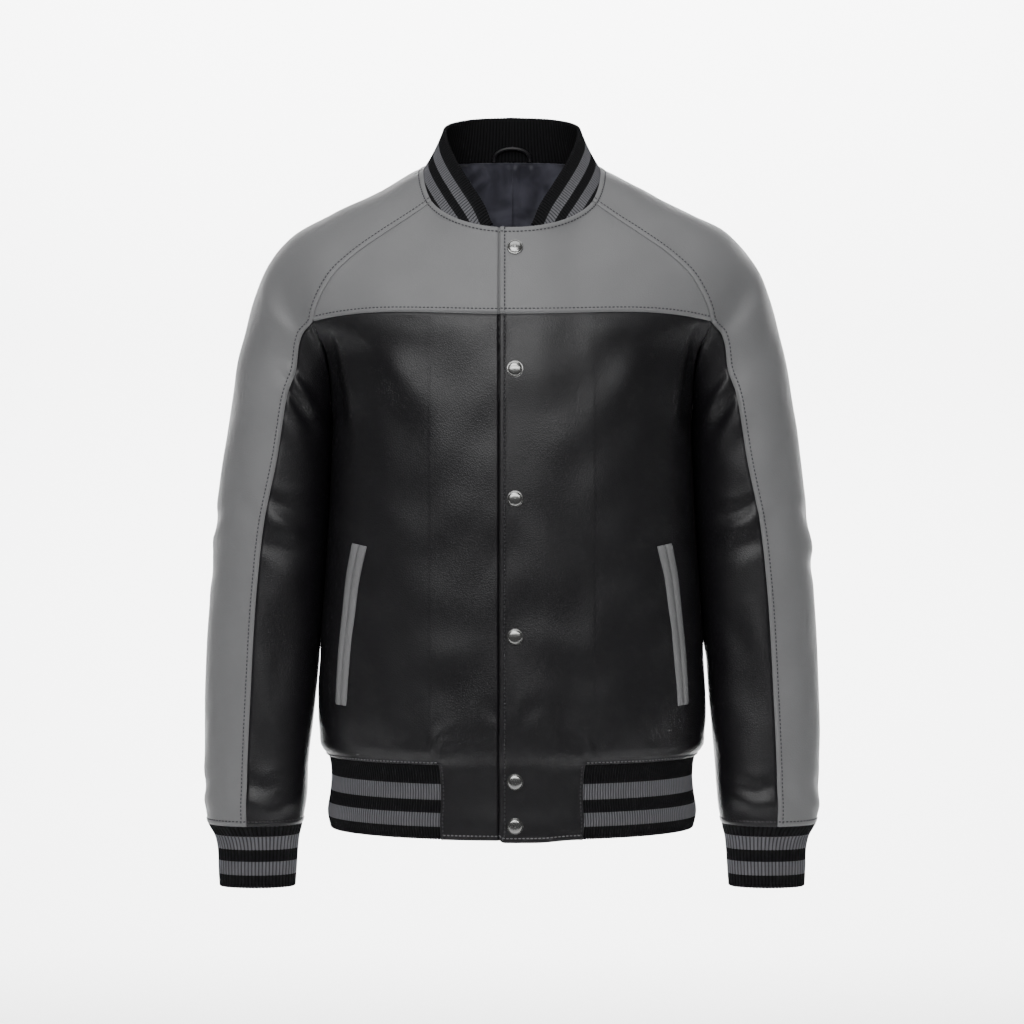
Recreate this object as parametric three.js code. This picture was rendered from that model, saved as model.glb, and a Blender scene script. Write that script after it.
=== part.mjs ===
// A varsity jacket with raglan sleeves, hollow as if someone wore it, arms hanging.
// Units are millimetres. +Z is up, the front faces -Y, and +X is the wearer's left.
// The origin is in the middle of the neck opening, level with the tops of the shoulders.
//
// The outer face of the leather is one skin of rows. A level says how high a row is: 1 is the
// neckline and 0 the underarm. Below the underarm a torso row is LEVEL_SPAN mm lower for each level,
// and a sleeve row runs from 0 at the underarm to -1 at the cuff seam. Every panel is cut out of the
// skin along its rows and columns, so panels that are sewn together share the same seam points.

import * as THREE from 'three';
import { mergeVertices } from 'three/addons/utils/BufferGeometryUtils.js';

// Driving dimensions
const LEATHER_WALL = 2;
const LINING_WALL = 1;
const RIB_WALL = 3.2;
const RIB_RELIEF = 0.7;
const SEAM_GAP = 0.3;
const UNDERARM_Z = -265;
const HEM_SEAM_Z = -607;
const HEM_Z = -682;
const LAP_LIFT = 3.2;
const OVERLAP = 12;
const UNDERLAP = 17;
const LEVEL_SPAN = 1000;
const HALF_ROUND = 4 / 3;
const WELD_GRAIN = 0.001;
const LAP_FLAT_TO = 22;
const LAP_FADES_AT = 70;
const YOKE_LEVEL = 0.437;
const SNAP_X = 3;
const SNAP_RADIUS = 8.2;
const SNAP_HEIGHT = 3.4;
const WELT_WIDTH = 8;
const WELT_WALL = 1.6;
const WELT_CLEARANCE = 0.4;

const GREY_LEATHER = new THREE.MeshStandardMaterial({ color: 0x858687, roughness: 0.55, metalness: 0 });
const BLACK_LEATHER = new THREE.MeshStandardMaterial({ color: 0x242326, roughness: 0.42, metalness: 0 });
const RIB_KNIT = new THREE.MeshStandardMaterial({ color: 0x1c1c1e, roughness: 0.9, metalness: 0 });
const LINING = new THREE.MeshStandardMaterial({ color: 0x34343b, roughness: 0.45, metalness: 0 });
const NICKEL = new THREE.MeshStandardMaterial({ color: 0xb9b9b6, roughness: 0.25, metalness: 1 });

// Tables: the first line names the columns, and each row is one section.
function table(columns, rows) {
  return rows.map((row) => Object.fromEntries(columns.map((name, i) => [name, row[i]])));
}

// The front of the torso above the underarm. centreY and centreZ are on the centre front line.
// x, y and z are on the raglan seam. ax, ay and az are the way the body cloth runs into the seam, and
// lx, ly and lz the way the sleeve cloth leaves it. The three handles set how full each curve is.
const FRONT_ROWS = table(
  ['level', 'centreY', 'centreZ', 'x', 'y', 'z', 'ax', 'ay', 'az', 'lx', 'ly', 'lz',
    'centreHandle', 'seamHandle', 'sleeveHandle'],
  [
    [0.0, -131, -265, 186.0, 5, -265, 0.02, 1.0, 0.0, 0.0, -1.0, 0.0, 124, 90, 0.78],
    [0.11, -130.5, -240, 186.0, -16, -247, 0.05, 1.0, 0.0, 0.25, -0.97, 0.0, 120, 73, 0.65],
    [0.22, -129.5, -214, 186.5, -33, -223, 0.15, 0.98, 0.0, 0.5, -0.85, 0.05, 118, 62, 0.52],
    [0.33, -127.5, -187, 191.0, -54, -192, 0.5, 0.86, 0.0, 0.8, -0.5, 0.2, 110, 50, 0.44],
    [YOKE_LEVEL, -123.5, -160, 201.0, -77, -164, 0.86, 0.48, -0.18, 0.8, 0.5, 0.35, 82, 74, 0.38],
    [0.56, -120.5, -144, 185.0, -82, -123.5, 0.91, 0.4, 0.06, 0.65, 0.5, 0.57, 72, 66, 0.37],
    [0.68, -116.0, -127, 160.5, -78, -97, 0.93, 0.36, 0.1, 0.5, 0.55, 0.67, 62, 58, 0.36],
    [0.8, -109.5, -108, 130.5, -69.5, -74.5, 0.9, 0.35, 0.23, 0.4, 0.6, 0.7, 51, 49, 0.36],
    [0.9, -102.0, -91, 106.0, -61, -57, 0.8, 0.48, 0.35, 0.35, 0.68, 0.65, 46, 40, 0.36],
    [1.0, -93.0, -71, 82.0, -52, -39, 0.33, 0.76, 0.56, 0.33, 0.76, 0.56, 45, 28, 0.36],
  ],
);

// The back of the torso above the underarm, with the same columns on the centre back line.
const BACK_ROWS = table(
  ['level', 'centreY', 'centreZ', 'x', 'y', 'z', 'ax', 'ay', 'az', 'lx', 'ly', 'lz',
    'centreHandle', 'seamHandle', 'sleeveHandle'],
  [
    [0.0, 121, -265, 186.0, 5, -265, 0.02, -1.0, 0.0, 0.0, 1.0, 0.0, 124, 77, 0.78],
    [0.11, 123, -240, 186.0, 25, -246, 0.05, -1.0, 0.0, 0.25, 0.97, 0.0, 119, 63, 0.65],
    [0.22, 124, -214, 187.5, 45, -220, 0.15, -0.98, 0.0, 0.5, 0.85, 0.05, 118, 58, 0.52],
    [0.33, 123.5, -187, 191.0, 64, -192, 0.5, -0.86, 0.0, 0.8, 0.5, 0.2, 112, 48, 0.44],
    [YOKE_LEVEL, 121.5, -160, 194.0, 82, -160, 0.88, -0.45, 0.0, 0.8, -0.4, 0.45, 95, 66, 0.38],
    [0.56, 116.5, -121, 179.0, 87, -105, 0.93, -0.36, 0.05, 0.7, -0.5, 0.5, 84, 58, 0.37],
    [0.68, 109.0, -83, 157.0, 83, -62, 0.92, -0.36, 0.12, 0.5, -0.65, 0.57, 72, 50, 0.36],
    [0.8, 99.0, -45, 131.0, 74, -28, 0.9, -0.4, 0.15, 0.35, -0.75, 0.5, 60, 42, 0.36],
    [0.9, 89.0, -13, 106.0, 62, -4, 0.8, -0.58, 0.1, 0.3, -0.9, 0.25, 50, 36, 0.36],
    [1.0, 76.0, 19, 80.0, 48, 14, 0.55, -0.82, -0.12, 0.4, -0.88, -0.2, 42, 30, 0.36],
  ],
);

// The overarm line, from the underarm level to the neck. rise tilts the cloth as it crosses the line.
const OVERARM_ROWS = table(
  ['level', 'x', 'y', 'z', 'rise'],
  [
    [0.0, 293.0, 5, -250, 0],
    [0.11, 286.5, 5, -211.5, 0],
    [0.22, 278.5, 5, -173, 0],
    [0.33, 268.8, 5, -135.5, 0],
    [YOKE_LEVEL, 253.5, 5, -100, 0],
    [0.56, 224.5, 4, -67, 0],
    [0.68, 187.0, 3, -46.5, 0.05],
    [0.8, 149.0, 2, -28, 0.12],
    [0.9, 117.0, 1, -12, 0.2],
    [1.0, 92.0, 0, 0, 0.3],
  ],
);

// The torso below the underarm, down to the bottom of the hem.
const TORSO_ROWS = table(
  ['z', 'halfWidth', 'sideY', 'frontY', 'backY', 'frontFullness', 'sideFullness'],
  [
    [-265, 186.0, 5, -131.0, 121.0, 0.667, 0.66],
    [-305, 187.2, 5, -131.5, 118.0, 0.662, 0.655],
    [-350, 189.0, 5, -131.0, 113.5, 0.655, 0.64],
    [-400, 192.0, 4, -129.5, 109.5, 0.648, 0.625],
    [-450, 195.7, 2, -128.5, 107.5, 0.638, 0.61],
    [-500, 198.8, 0, -128.0, 108.0, 0.62, 0.61],
    [-545, 200.8, -2, -128.0, 110.0, 0.61, 0.6],
    [-580, 199.8, -3, -127.0, 110.0, 0.6, 0.59],
    [-597, 196.5, -3, -124.5, 107.0, 0.59, 0.58],
    [HEM_SEAM_Z, 190.0, -3, -121.0, 103.5, 0.58, 0.57],
    [-625, 186.8, -3, -119.5, 102.0, 0.57, 0.56],
    [-645, 188.0, -3, -119.0, 102.0, 0.56, 0.56],
    [-666, 190.8, -3, -119.5, 102.5, 0.56, 0.56],
    [HEM_Z, 187.5, -3, -118.0, 101.0, 0.56, 0.56],
  ],
);

// The sleeve below the underarm: its inner and outer lines, and how deep it is from its middle to the
// front or the back. reach runs from 0 at the underarm to 1 at the cuff seam.
const SLEEVE_ROWS = table(
  ['reach', 'innerX', 'outerX', 'y', 'innerZ', 'outerZ', 'depth'],
  [
    [0.0, 186.0, 293.0, 5, -265, -250, 62.0],
    [0.1, 188.2, 300.0, 5, -306, -298, 61.0],
    [0.25, 191.6, 308.0, 4, -368, -366, 58.5],
    [0.4, 195.4, 313.0, 2, -430, -430, 56.0],
    [0.55, 199.4, 316.8, 0, -492, -492, 53.0],
    [0.7, 204.5, 318.6, -6, -553, -553, 49.0],
    [0.85, 210.0, 317.6, -13, -612, -612, 45.0],
    [0.96, 213.6, 316.0, -18, -660, -660, 42.0],
    [1.0, 215.6, 314.0, -19, -676, -676, 39.5],
  ],
);

// Where the black under sleeve ends and the grey top sleeve begins, as a share of the half ring.
const SLEEVE_SPLIT = table(
  ['level', 'share'],
  [[-1, 0.535], [-0.7, 0.53], [-0.4, 0.53], [-0.25, 0.515], [-0.1, 0.47], [0, 0.45], [0.11, 0.39],
    [0.22, 0.3], [0.33, 0.2], [YOKE_LEVEL, 0]],
);

// The ribbed cuff, from its seam down.
const CUFF_ROWS = table(
  ['drop', 'innerX', 'outerX', 'z', 'depth'],
  [
    [0.0, 216.2, 313.4, -676.5, 38.8],
    [0.18, 219.4, 306.4, -688, 30.5],
    [0.35, 220.8, 303.6, -699, 26.6],
    [0.7, 222.4, 302.4, -722, 25.0],
    [1.0, 223.8, 301.4, -741, 24.2],
  ],
);
const CUFF_MIDDLE_Y = -19;

// The ribbed collar, from its front end to the centre back. x, y and z are on its folded top edge,
// and seam is how far along the neckline the same rib starts, from the centre front to the centre back.
const COLLAR_ROWS = table(
  ['along', 'seam', 'x', 'y', 'z'],
  [
    [0.0, 0.075, 20.5, -92.0, -66.5],
    [0.12, 0.16, 28.5, -81.0, -46.0],
    [0.26, 0.255, 42.5, -62.0, -22.0],
    [0.42, 0.38, 59.0, -34.0, 7.5],
    [0.58, 0.53, 69.5, -2.0, 35.5],
    [0.72, 0.68, 68.5, 27.0, 51.0],
    [0.86, 0.84, 43.5, 55.0, 61.5],
    [1.0, 1.0, 0.0, 65.0, 65.0],
  ],
);
const COLLAR_BULGE = -1.2;

// The line between the two welts of a pocket, on the front of the torso.
const POCKET_ROWS = table(
  ['x', 'z'],
  [[153.0, -389], [159.5, -420], [164.5, -460], [169.0, -500], [172.5, -551]],
);
const POCKET_STEPS = 10;

// The snaps, from the top of the front down to the hem.
const SNAP_Z = [-92, -215, -343, -479, -623, -667];

// The hanging loop inside the back of the neck.
const LOOP_HALF_WIDTH = 19;
const LOOP_HEIGHT = 12;
const LOOP_RADIUS = 1.9;
const LOOP_FOOT = { y: 69.1, z: 19.6 };
const LOOP_LEAN = 5;

// Where the rows and columns of the skin are
const RAGLAN_LEVELS = [1, 0.9, 0.8, 0.7, 0.62, 0.56, 0.5, YOKE_LEVEL, 0.385, 0.33, 0.22, 0.11, 0];
const TORSO_Z = [-265, -305, -350, -400, -450, -500, -545, -580, -597, HEM_SEAM_Z];
const HEM_TAB_Z = [HEM_SEAM_Z, -645, HEM_Z];
const SLEEVE_REACH = [0, 0.08, 0.18, 0.28, 0.4, 0.52, 0.64, 0.76, 0.87, 0.95, 1];
const TAB_EDGE = 0.238;
const FRONT_COLUMNS = [0, 0.06, 0.12, TAB_EDGE, 0.3, 0.4, 0.5, 0.58, 0.66, 0.74, 0.82, 0.91, 1];
const BACK_COLUMNS = [0, 0.16, 0.32, 0.46, 0.58, 0.7, 0.82, 0.91, 1];
const SLEEVE_COLUMNS = 4;

// Curves through tables

// Gives a function that reads every column of a table at any value of its key column, on a smooth
// curve through the rows.
function track(rows, key) {
  const sorted = [...rows].sort((a, b) => a[key] - b[key]);
  const last = sorted.length - 1;
  const slope = (i, name) => {
    const rise = (k) => (sorted[k + 1][name] - sorted[k][name]) / (sorted[k + 1][key] - sorted[k][key]);
    if (i === 0) return rise(0);
    if (i === last) return rise(last - 1);
    const before = sorted[i][key] - sorted[i - 1][key];
    const after = sorted[i + 1][key] - sorted[i][key];
    return (rise(i) * before + rise(i - 1) * after) / (before + after);
  };
  return (value) => {
    let i = 0;
    while (i < last - 1 && value > sorted[i + 1][key]) i += 1;
    const span = sorted[i + 1][key] - sorted[i][key];
    const s = Math.min(1, Math.max(0, (value - sorted[i][key]) / span));
    const read = {};
    for (const name of Object.keys(sorted[0])) {
      const a = sorted[i][name];
      const b = sorted[i + 1][name];
      read[name] = a * (1 + 2 * s) * (1 - s) ** 2 + b * s * s * (3 - 2 * s)
        + span * s * (1 - s) * (slope(i, name) * (1 - s) - slope(i + 1, name) * s);
    }
    return read;
  };
}

const frontRow = track(FRONT_ROWS, 'level');
const backRow = track(BACK_ROWS, 'level');
const overarm = track(OVERARM_ROWS, 'level');
const torsoRow = track(TORSO_ROWS, 'z');
const sleeveRow = track(SLEEVE_ROWS, 'reach');
const sleeveSplit = track(SLEEVE_SPLIT, 'level');
const cuffRow = track(CUFF_ROWS, 'drop');
const collarRow = track(COLLAR_ROWS, 'along');

const vector = (x, y, z) => new THREE.Vector3(x, y, z);

function curve(start, startWay, startHandle, end, endWay, endHandle) {
  const leaving = start.clone().addScaledVector(startWay.clone().normalize(), startHandle);
  const arriving = end.clone().addScaledVector(endWay.clone().normalize(), -endHandle);
  return new THREE.CubicBezierCurve3(start, leaving, arriving, end);
}

// The skin

// A torso row on the wearer's left, from the centre to the raglan or side seam. front is 1 or -1.
const torsoCurves = new Map();
function torsoCurve(level, front) {
  const name = `${level} ${front}`;
  if (!torsoCurves.has(name)) torsoCurves.set(name, makeTorsoCurve(level, front));
  return torsoCurves.get(name);
}

function makeTorsoCurve(level, front) {
  if (level >= 0) {
    const row = front > 0 ? frontRow(level) : backRow(level);
    return curve(
      vector(0, row.centreY, row.centreZ), vector(1, 0, 0), row.centreHandle,
      vector(row.x, row.y, row.z), vector(row.ax, row.ay, row.az), row.seamHandle,
    );
  }
  const z = UNDERARM_Z + LEVEL_SPAN * level;
  const row = torsoRow(z);
  const centreY = front > 0 ? row.frontY : row.backY;
  const depth = Math.abs(centreY - row.sideY);
  return curve(
    vector(0, centreY, z), vector(1, 0, 0), row.frontFullness * row.halfWidth,
    vector(row.halfWidth, row.sideY, z), vector(0, front, 0), row.sideFullness * depth,
  );
}

const torsoLevel = (z) => (z - UNDERARM_Z) / LEVEL_SPAN;

// A sleeve row on the wearer's left: half a ring, from its inner line to the overarm line.
function sleeveCurve(level, front) {
  if (level >= 0) {
    const seam = front > 0 ? frontRow(level) : backRow(level);
    const top = overarm(level);
    const start = vector(seam.x, seam.y, seam.z);
    const end = vector(top.x, top.y, top.z);
    const handle = seam.sleeveHandle * start.distanceTo(end);
    return curve(
      start, vector(seam.lx, seam.ly, seam.lz), handle, end, vector(0, front, front * top.rise), handle,
    );
  }
  const row = sleeveRow(-level);
  const handle = HALF_ROUND * row.depth;
  return curve(
    vector(row.innerX, row.y, row.innerZ), vector(0, -front, 0), handle,
    vector(row.outerX, row.y, row.outerZ), vector(0, front, 0), handle,
  );
}

function smoothStep(low, high, value) {
  const s = Math.min(1, Math.max(0, (value - low) / (high - low)));
  return s * s * (3 - 2 * s);
}

// The left front lies over the right one, so its cloth is lifted where the two overlap.
const lapLift = (x) => LAP_LIFT * (1 - smoothStep(LAP_FLAT_TO, LAP_FADES_AT, x));

const edgeName = (from, to) => `${Math.min(from, to)} ${Math.max(from, to)}`;

// Points of all panels, welded where they meet, with the faces that each patch covers.
class Skin {
  constructor() {
    this.points = [];
    this.byPlace = new Map();
    this.faces = [];
  }

  vertex(point) {
    const place = point.toArray().map((value) => Math.round(value / WELD_GRAIN) + 0).join(' ');
    if (!this.byPlace.has(place)) {
      this.byPlace.set(place, this.points.length);
      this.points.push(point.clone());
    }
    return this.byPlace.get(place);
  }

  // rows is a grid of points. turned says that its rows and columns run the other way round.
  patch(rows, turned) {
    const grid = rows.map((row) => row.map((point) => this.vertex(point)));
    const faces = [];
    for (let i = 0; i + 1 < grid.length; i += 1) {
      for (let j = 0; j + 1 < grid[i].length; j += 1) {
        const corners = [grid[i][j], grid[i + 1][j], grid[i + 1][j + 1], grid[i][j + 1]];
        if (turned) corners.reverse();
        faces.push(...this.split(corners));
      }
    }
    this.faces.push(...faces);
    return faces;
  }

  // Splits a quad along its shorter diagonal, and drops triangles that have closed up.
  split([a, b, c, d]) {
    const length = (i, j) => this.points[i].distanceTo(this.points[j]);
    const pair = length(a, c) <= length(b, d) ? [[a, b, c], [a, c, d]] : [[a, b, d], [b, c, d]];
    return pair.filter(([i, j, k]) => i !== j && j !== k && k !== i);
  }

  // Outward directions of some faces, averaged at each point they meet at.
  normalsOf(faces) {
    const normals = new Map();
    for (const face of faces) {
      const normal = this.faceNormal(face);
      for (const i of face) normals.set(i, (normals.get(i) ?? vector(0, 0, 0)).add(normal));
    }
    for (const normal of normals.values()) normal.normalize();
    return normals;
  }

  faceNormal([a, b, c]) {
    return this.points[b].clone().sub(this.points[a]).cross(this.points[c].clone().sub(this.points[a]));
  }

  // Averages over every panel: at each point, and across each edge.
  finish() {
    this.normals = this.normalsOf(this.faces);
    this.edgeNormals = new Map();
    for (const face of this.faces) {
      const normal = this.faceNormal(face).normalize();
      face.forEach((from, i) => {
        const name = edgeName(from, face[(i + 1) % 3]);
        this.edgeNormals.set(name, (this.edgeNormals.get(name) ?? vector(0, 0, 0)).add(normal));
      });
    }
  }
}

const mirrored = (rows, side) => rows.map((row) => row.map((p) => vector(side * p.x, p.y, p.z)));

const skin = new Skin();

// Adds one patch for the wearer's left (side 1) or right (side -1).
function addPatch(rows, side, turned) {
  return skin.patch(mirrored(rows, side), side > 0 ? turned : !turned);
}

function frontGrid(levels, columns, side) {
  const edge = side > 0 ? -OVERLAP : -UNDERLAP;
  return levels.map((level) => {
    const row = torsoCurve(level, 1);
    const points = [row.getPoint(0).add(vector(edge, 0, 0)), ...columns.map((u) => row.getPoint(u))];
    if (side > 0) for (const point of points) point.y -= lapLift(point.x);
    return points;
  });
}

const backRowPoints = (level) => BACK_COLUMNS.map((u) => torsoCurve(level, -1).getPoint(u));
const backGrid = (levels) => levels.map(backRowPoints);

function shares(from, to) {
  return Array.from({ length: SLEEVE_COLUMNS + 1 }, (_, i) => from + ((to - from) * i) / SLEEVE_COLUMNS);
}

function sleeveGrid(levels, front, part) {
  return levels.map((level) => {
    const line = sleeveCurve(level, front);
    const split = level >= YOKE_LEVEL ? 0 : sleeveSplit(level).share;
    const columns = part === 'under' ? shares(0, split) : shares(split, 1);
    return columns.map((share) => line.getPoint(share));
  });
}

const yokeLevels = RAGLAN_LEVELS.filter((level) => level >= YOKE_LEVEL);
const chestLevels = RAGLAN_LEVELS.filter((level) => level <= YOKE_LEVEL);
const lowerLevels = [...chestLevels, ...TORSO_Z.slice(1).map(torsoLevel)];
const tabLevels = HEM_TAB_Z.map(torsoLevel);
const tabColumns = FRONT_COLUMNS.filter((u) => u <= TAB_EDGE);
const armLevels = SLEEVE_REACH.map((reach) => -reach);
const wholeSleeveLevels = [...RAGLAN_LEVELS, ...armLevels.slice(1)];

const SIDES = [['left', 1], ['right', -1]];
const patches = {};
for (const [name, side] of SIDES) {
  patches[`front_yoke_${name}`] = addPatch(frontGrid(yokeLevels, FRONT_COLUMNS, side), side, false);
  patches[`front_${name}`] = [
    ...addPatch(frontGrid(lowerLevels, FRONT_COLUMNS, side), side, false),
    ...addPatch(frontGrid(tabLevels, tabColumns, side), side, false),
  ];
  patches[`back_yoke_${name}`] = addPatch(backGrid(yokeLevels), side, true);
  patches[`back_${name}`] = addPatch(backGrid(lowerLevels), side, true);
  patches[`sleeve_front_${name}`] = addPatch(sleeveGrid(wholeSleeveLevels, 1, 'top'), side, false);
  patches[`sleeve_back_${name}`] = addPatch(sleeveGrid(wholeSleeveLevels, -1, 'top'), side, true);
  patches[`sleeve_under_${name}`] = [
    ...addPatch(sleeveGrid([...chestLevels, ...armLevels.slice(1)], 1, 'under'), side, false),
    ...addPatch(sleeveGrid([...chestLevels, ...armLevels.slice(1)], -1, 'under'), side, true),
  ];
}
skin.finish();

// Walls

function geometryOf(points, faces) {
  const geometry = new THREE.BufferGeometry();
  geometry.setAttribute('position', new THREE.Float32BufferAttribute(points.flatMap((p) => p.toArray()), 3));
  geometry.setIndex(faces.flat());
  return geometry;
}

// The edges of a set of faces that only one face uses, in the order of that face.
function openEdges(faces) {
  const used = new Map();
  for (const face of faces) {
    face.forEach((from, i) => used.set(`${from} ${face[(i + 1) % 3]}`, [from, face[(i + 1) % 3]]));
  }
  return [...used.values()].filter(([from, to]) => !used.has(`${to} ${from}`));
}

// How far each point on the edge of a panel steps back, so that sewn panels are SEAM_GAP apart. Each
// edge steps back square to the mean of the two panels that it joins.
function stepBack(edges) {
  const inwards = new Map();
  for (const [from, to] of edges) {
    const along = skin.points[to].clone().sub(skin.points[from]);
    const inward = skin.edgeNormals.get(edgeName(from, to)).clone().cross(along).normalize();
    for (const i of [from, to]) inwards.set(i, [...(inwards.get(i) ?? []), inward]);
  }
  const steps = new Map();
  const sharpest = 0.3;
  for (const [i, [first, second]] of inwards) {
    const corner = Math.max(sharpest, 1 + first.dot(second));
    steps.set(i, first.clone().add(second).multiplyScalar(SEAM_GAP / 2 / corner));
  }
  return steps;
}

// The torso and the sleeve share their outward direction where they meet flat. Where they are folded
// back to back, as under the arm, each keeps its own.
const FLAT_SEAM = 0.85;
const FOLDED_SEAM = 0.5;
function wallNormals(names) {
  const own = skin.normalsOf(names.flatMap((name) => patches[name]));
  for (const [i, normal] of own) {
    const shared = skin.normals.get(i);
    const flat = smoothStep(FOLDED_SEAM, FLAT_SEAM, normal.dot(shared));
    normal.lerp(shared, flat).normalize();
  }
  return own;
}
const patchNames = Object.keys(patches);
const sleeveNormals = wallNormals(patchNames.filter((name) => name.startsWith('sleeve')));
const torsoNormals = wallNormals(patchNames.filter((name) => !name.startsWith('sleeve')));

// A cloth wall: its outer face lies depth under the skin, and it is thickness thick.
function wall(faces, normals, thickness, depth = 0) {
  const own = [...new Set(faces.flat())];
  const local = new Map(own.map((i, k) => [i, k]));
  const steps = stepBack(openEdges(faces));
  const layer = (under) => own.map((i) => {
    const moved = skin.points[i].clone().addScaledVector(normals.get(i), -under);
    return steps.has(i) ? moved.add(steps.get(i)) : moved;
  });
  const outerFaces = faces.map((face) => face.map((i) => local.get(i)));
  const edges = openEdges(outerFaces);
  const count = own.length;
  const innerFaces = outerFaces.map(([a, b, c]) => [c + count, b + count, a + count]);
  const rims = edges.flatMap(([from, to]) => [[to, from, from + count], [to, from + count, to + count]]);
  return geometryOf([...layer(depth), ...layer(depth + thickness)], [...outerFaces, ...innerFaces, ...rims]);
}

// Points at equal distances along a line of points
function evenly(points, count, closed) {
  const line = closed ? [...points, points[0]] : points;
  const far = [0];
  for (let i = 1; i < line.length; i += 1) far.push(far[i - 1] + line[i].distanceTo(line[i - 1]));
  const total = far[far.length - 1];
  let i = 0;
  return Array.from({ length: closed ? count : count + 1 }, (_, k) => {
    const wanted = (total * k) / count;
    while (i + 2 < line.length && far[i + 1] < wanted) i += 1;
    const s = (wanted - far[i]) / (far[i + 1] - far[i]);
    return line[i].clone().lerp(line[i + 1], s);
  });
}

// A band of rib knit. rings are lines of points from the seam edge to the folded edge. Every rib is a
// ridge and a groove in the outer points, and the inner face is plain, with one column for each
// RIBS_TO_A_COLUMN ribs. outward is 1 or -1, and upright keeps the wall's directions horizontal.
const RIBS_TO_A_COLUMN = 3;
function ribBand(rings, ribs, closed, outward, upright) {
  const step = 2 * RIBS_TO_A_COLUMN;
  const count = 2 * ribs;
  const lines = rings.map((ring) => evenly(ring, count, closed));
  const columns = lines[0].length;
  const normalAt = (r, c) => {
    const before = lines[r][closed ? (c + columns - 1) % columns : Math.max(0, c - 1)];
    const after = lines[r][closed ? (c + 1) % columns : Math.min(columns - 1, c + 1)];
    const across = lines[Math.min(lines.length - 1, r + 1)][c].clone()
      .sub(lines[Math.max(0, r - 1)][c]);
    const normal = after.clone().sub(before).cross(across).multiplyScalar(outward);
    if (upright) normal.z = 0;
    return normal.normalize();
  };
  const ends = (c) => !closed && (c === 0 || c === columns - 1);
  const relief = (r, c) => (c % 2 === 0 && r > 0 && !ends(c) ? RIB_RELIEF : 0);
  const outer = lines.map((line, r) => line.map((p, c) => (
    p.clone().addScaledVector(normalAt(r, c), relief(r, c))
  )));
  const innerAt = Array.from({ length: Math.ceil(columns / step) }, (_, k) => k * step);
  if (!closed && innerAt[innerAt.length - 1] !== columns - 1) innerAt.push(columns - 1);
  const inner = lines.map((line, r) => innerAt.map((c) => (
    line[c].clone().addScaledVector(normalAt(r, c), -RIB_WALL)
  )));
  const points = [...outer.flat(), ...inner.flat()];
  const outerIndex = (r, c) => r * columns + (c % columns);
  const innerIndex = (r, k) => lines.length * columns + r * innerAt.length + (k % innerAt.length);
  const faces = [];
  const quad = (a, b, c, d) => faces.push([a, b, c], [a, c, d]);
  const lastRow = lines.length - 1;
  const spans = closed ? columns : columns - 1;
  const innerSpans = closed ? innerAt.length : innerAt.length - 1;
  for (let r = 0; r < lastRow; r += 1) {
    for (let c = 0; c < spans; c += 1) {
      quad(outerIndex(r, c), outerIndex(r, c + 1), outerIndex(r + 1, c + 1), outerIndex(r + 1, c));
    }
    for (let k = 0; k < innerSpans; k += 1) {
      quad(innerIndex(r, k), innerIndex(r + 1, k), innerIndex(r + 1, k + 1), innerIndex(r, k + 1));
    }
    if (!closed) {
      quad(outerIndex(r, 0), outerIndex(r + 1, 0), innerIndex(r + 1, 0), innerIndex(r, 0));
      const end = columns - 1;
      const innerEnd = innerAt.length - 1;
      quad(outerIndex(r, end), innerIndex(r, innerEnd), innerIndex(r + 1, innerEnd), outerIndex(r + 1, end));
    }
  }
  for (let k = 0; k < innerSpans; k += 1) {
    const from = innerAt[k];
    const to = k + 1 < innerAt.length ? innerAt[k + 1] : columns;
    for (let c = from; c < to; c += 1) {
      faces.push([outerIndex(0, c + 1), outerIndex(0, c), innerIndex(0, k)]);
      faces.push([outerIndex(lastRow, c), outerIndex(lastRow, c + 1), innerIndex(lastRow, k)]);
    }
    faces.push([outerIndex(0, to), innerIndex(0, k), innerIndex(0, k + 1)]);
    faces.push([innerIndex(lastRow, k), outerIndex(lastRow, to), innerIndex(lastRow, k + 1)]);
  }
  if (outward < 0) for (const face of faces) face.reverse();
  return geometryOf(points, faces);
}

const steps = (count) => Array.from({ length: count + 1 }, (_, i) => i / count);

const HEM_RIBS = 180;
const CUFF_RIBS = 54;
const COLLAR_RIBS = 120;
const RING_SAMPLES = 60;
const HEM_SEAM_CLEARANCE = 0.5;
const HEM_TAB_CLEARANCE = 1;
const HEM_RINGS = [HEM_SEAM_Z - HEM_SEAM_CLEARANCE, -622, -650, HEM_Z];
const CUFF_RINGS = [0, 0.22, 0.45, 1];
const COLLAR_RINGS = [0, 0.5, 1];

// The hem band runs from one front tab round the back to the other.
function hemBand() {
  const rings = HEM_RINGS.map((z) => {
    const front = torsoCurve(torsoLevel(z), 1);
    const back = torsoCurve(torsoLevel(z), -1);
    const leftFront = steps(RING_SAMPLES).map((s) => front.getPoint(TAB_EDGE + (1 - TAB_EDGE) * s));
    const leftBack = steps(RING_SAMPLES).map((s) => back.getPoint(1 - s)).slice(1);
    const left = [...leftFront, ...leftBack];
    left[0].x += HEM_TAB_CLEARANCE;
    const right = left.slice(0, -1).reverse().map((p) => vector(-p.x, p.y, p.z));
    return [...left, ...right];
  });
  return ribBand(rings, HEM_RIBS, false, -1, true);
}

function cuffBand(side) {
  const rings = CUFF_RINGS.map((drop) => {
    const row = cuffRow(drop);
    const handle = HALF_ROUND * row.depth;
    const half = (front) => curve(
      vector(row.innerX, CUFF_MIDDLE_Y, row.z), vector(0, -front, 0), handle,
      vector(row.outerX, CUFF_MIDDLE_Y, row.z), vector(0, front, 0), handle,
    );
    const front = steps(RING_SAMPLES).map((s) => half(1).getPoint(s));
    const back = steps(RING_SAMPLES).map((s) => half(-1).getPoint(1 - s)).slice(1, -1);
    return [...front, ...back].map((p) => vector(side * p.x, p.y, p.z));
  });
  return ribBand(rings, CUFF_RIBS, true, -side, true);
}

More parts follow.
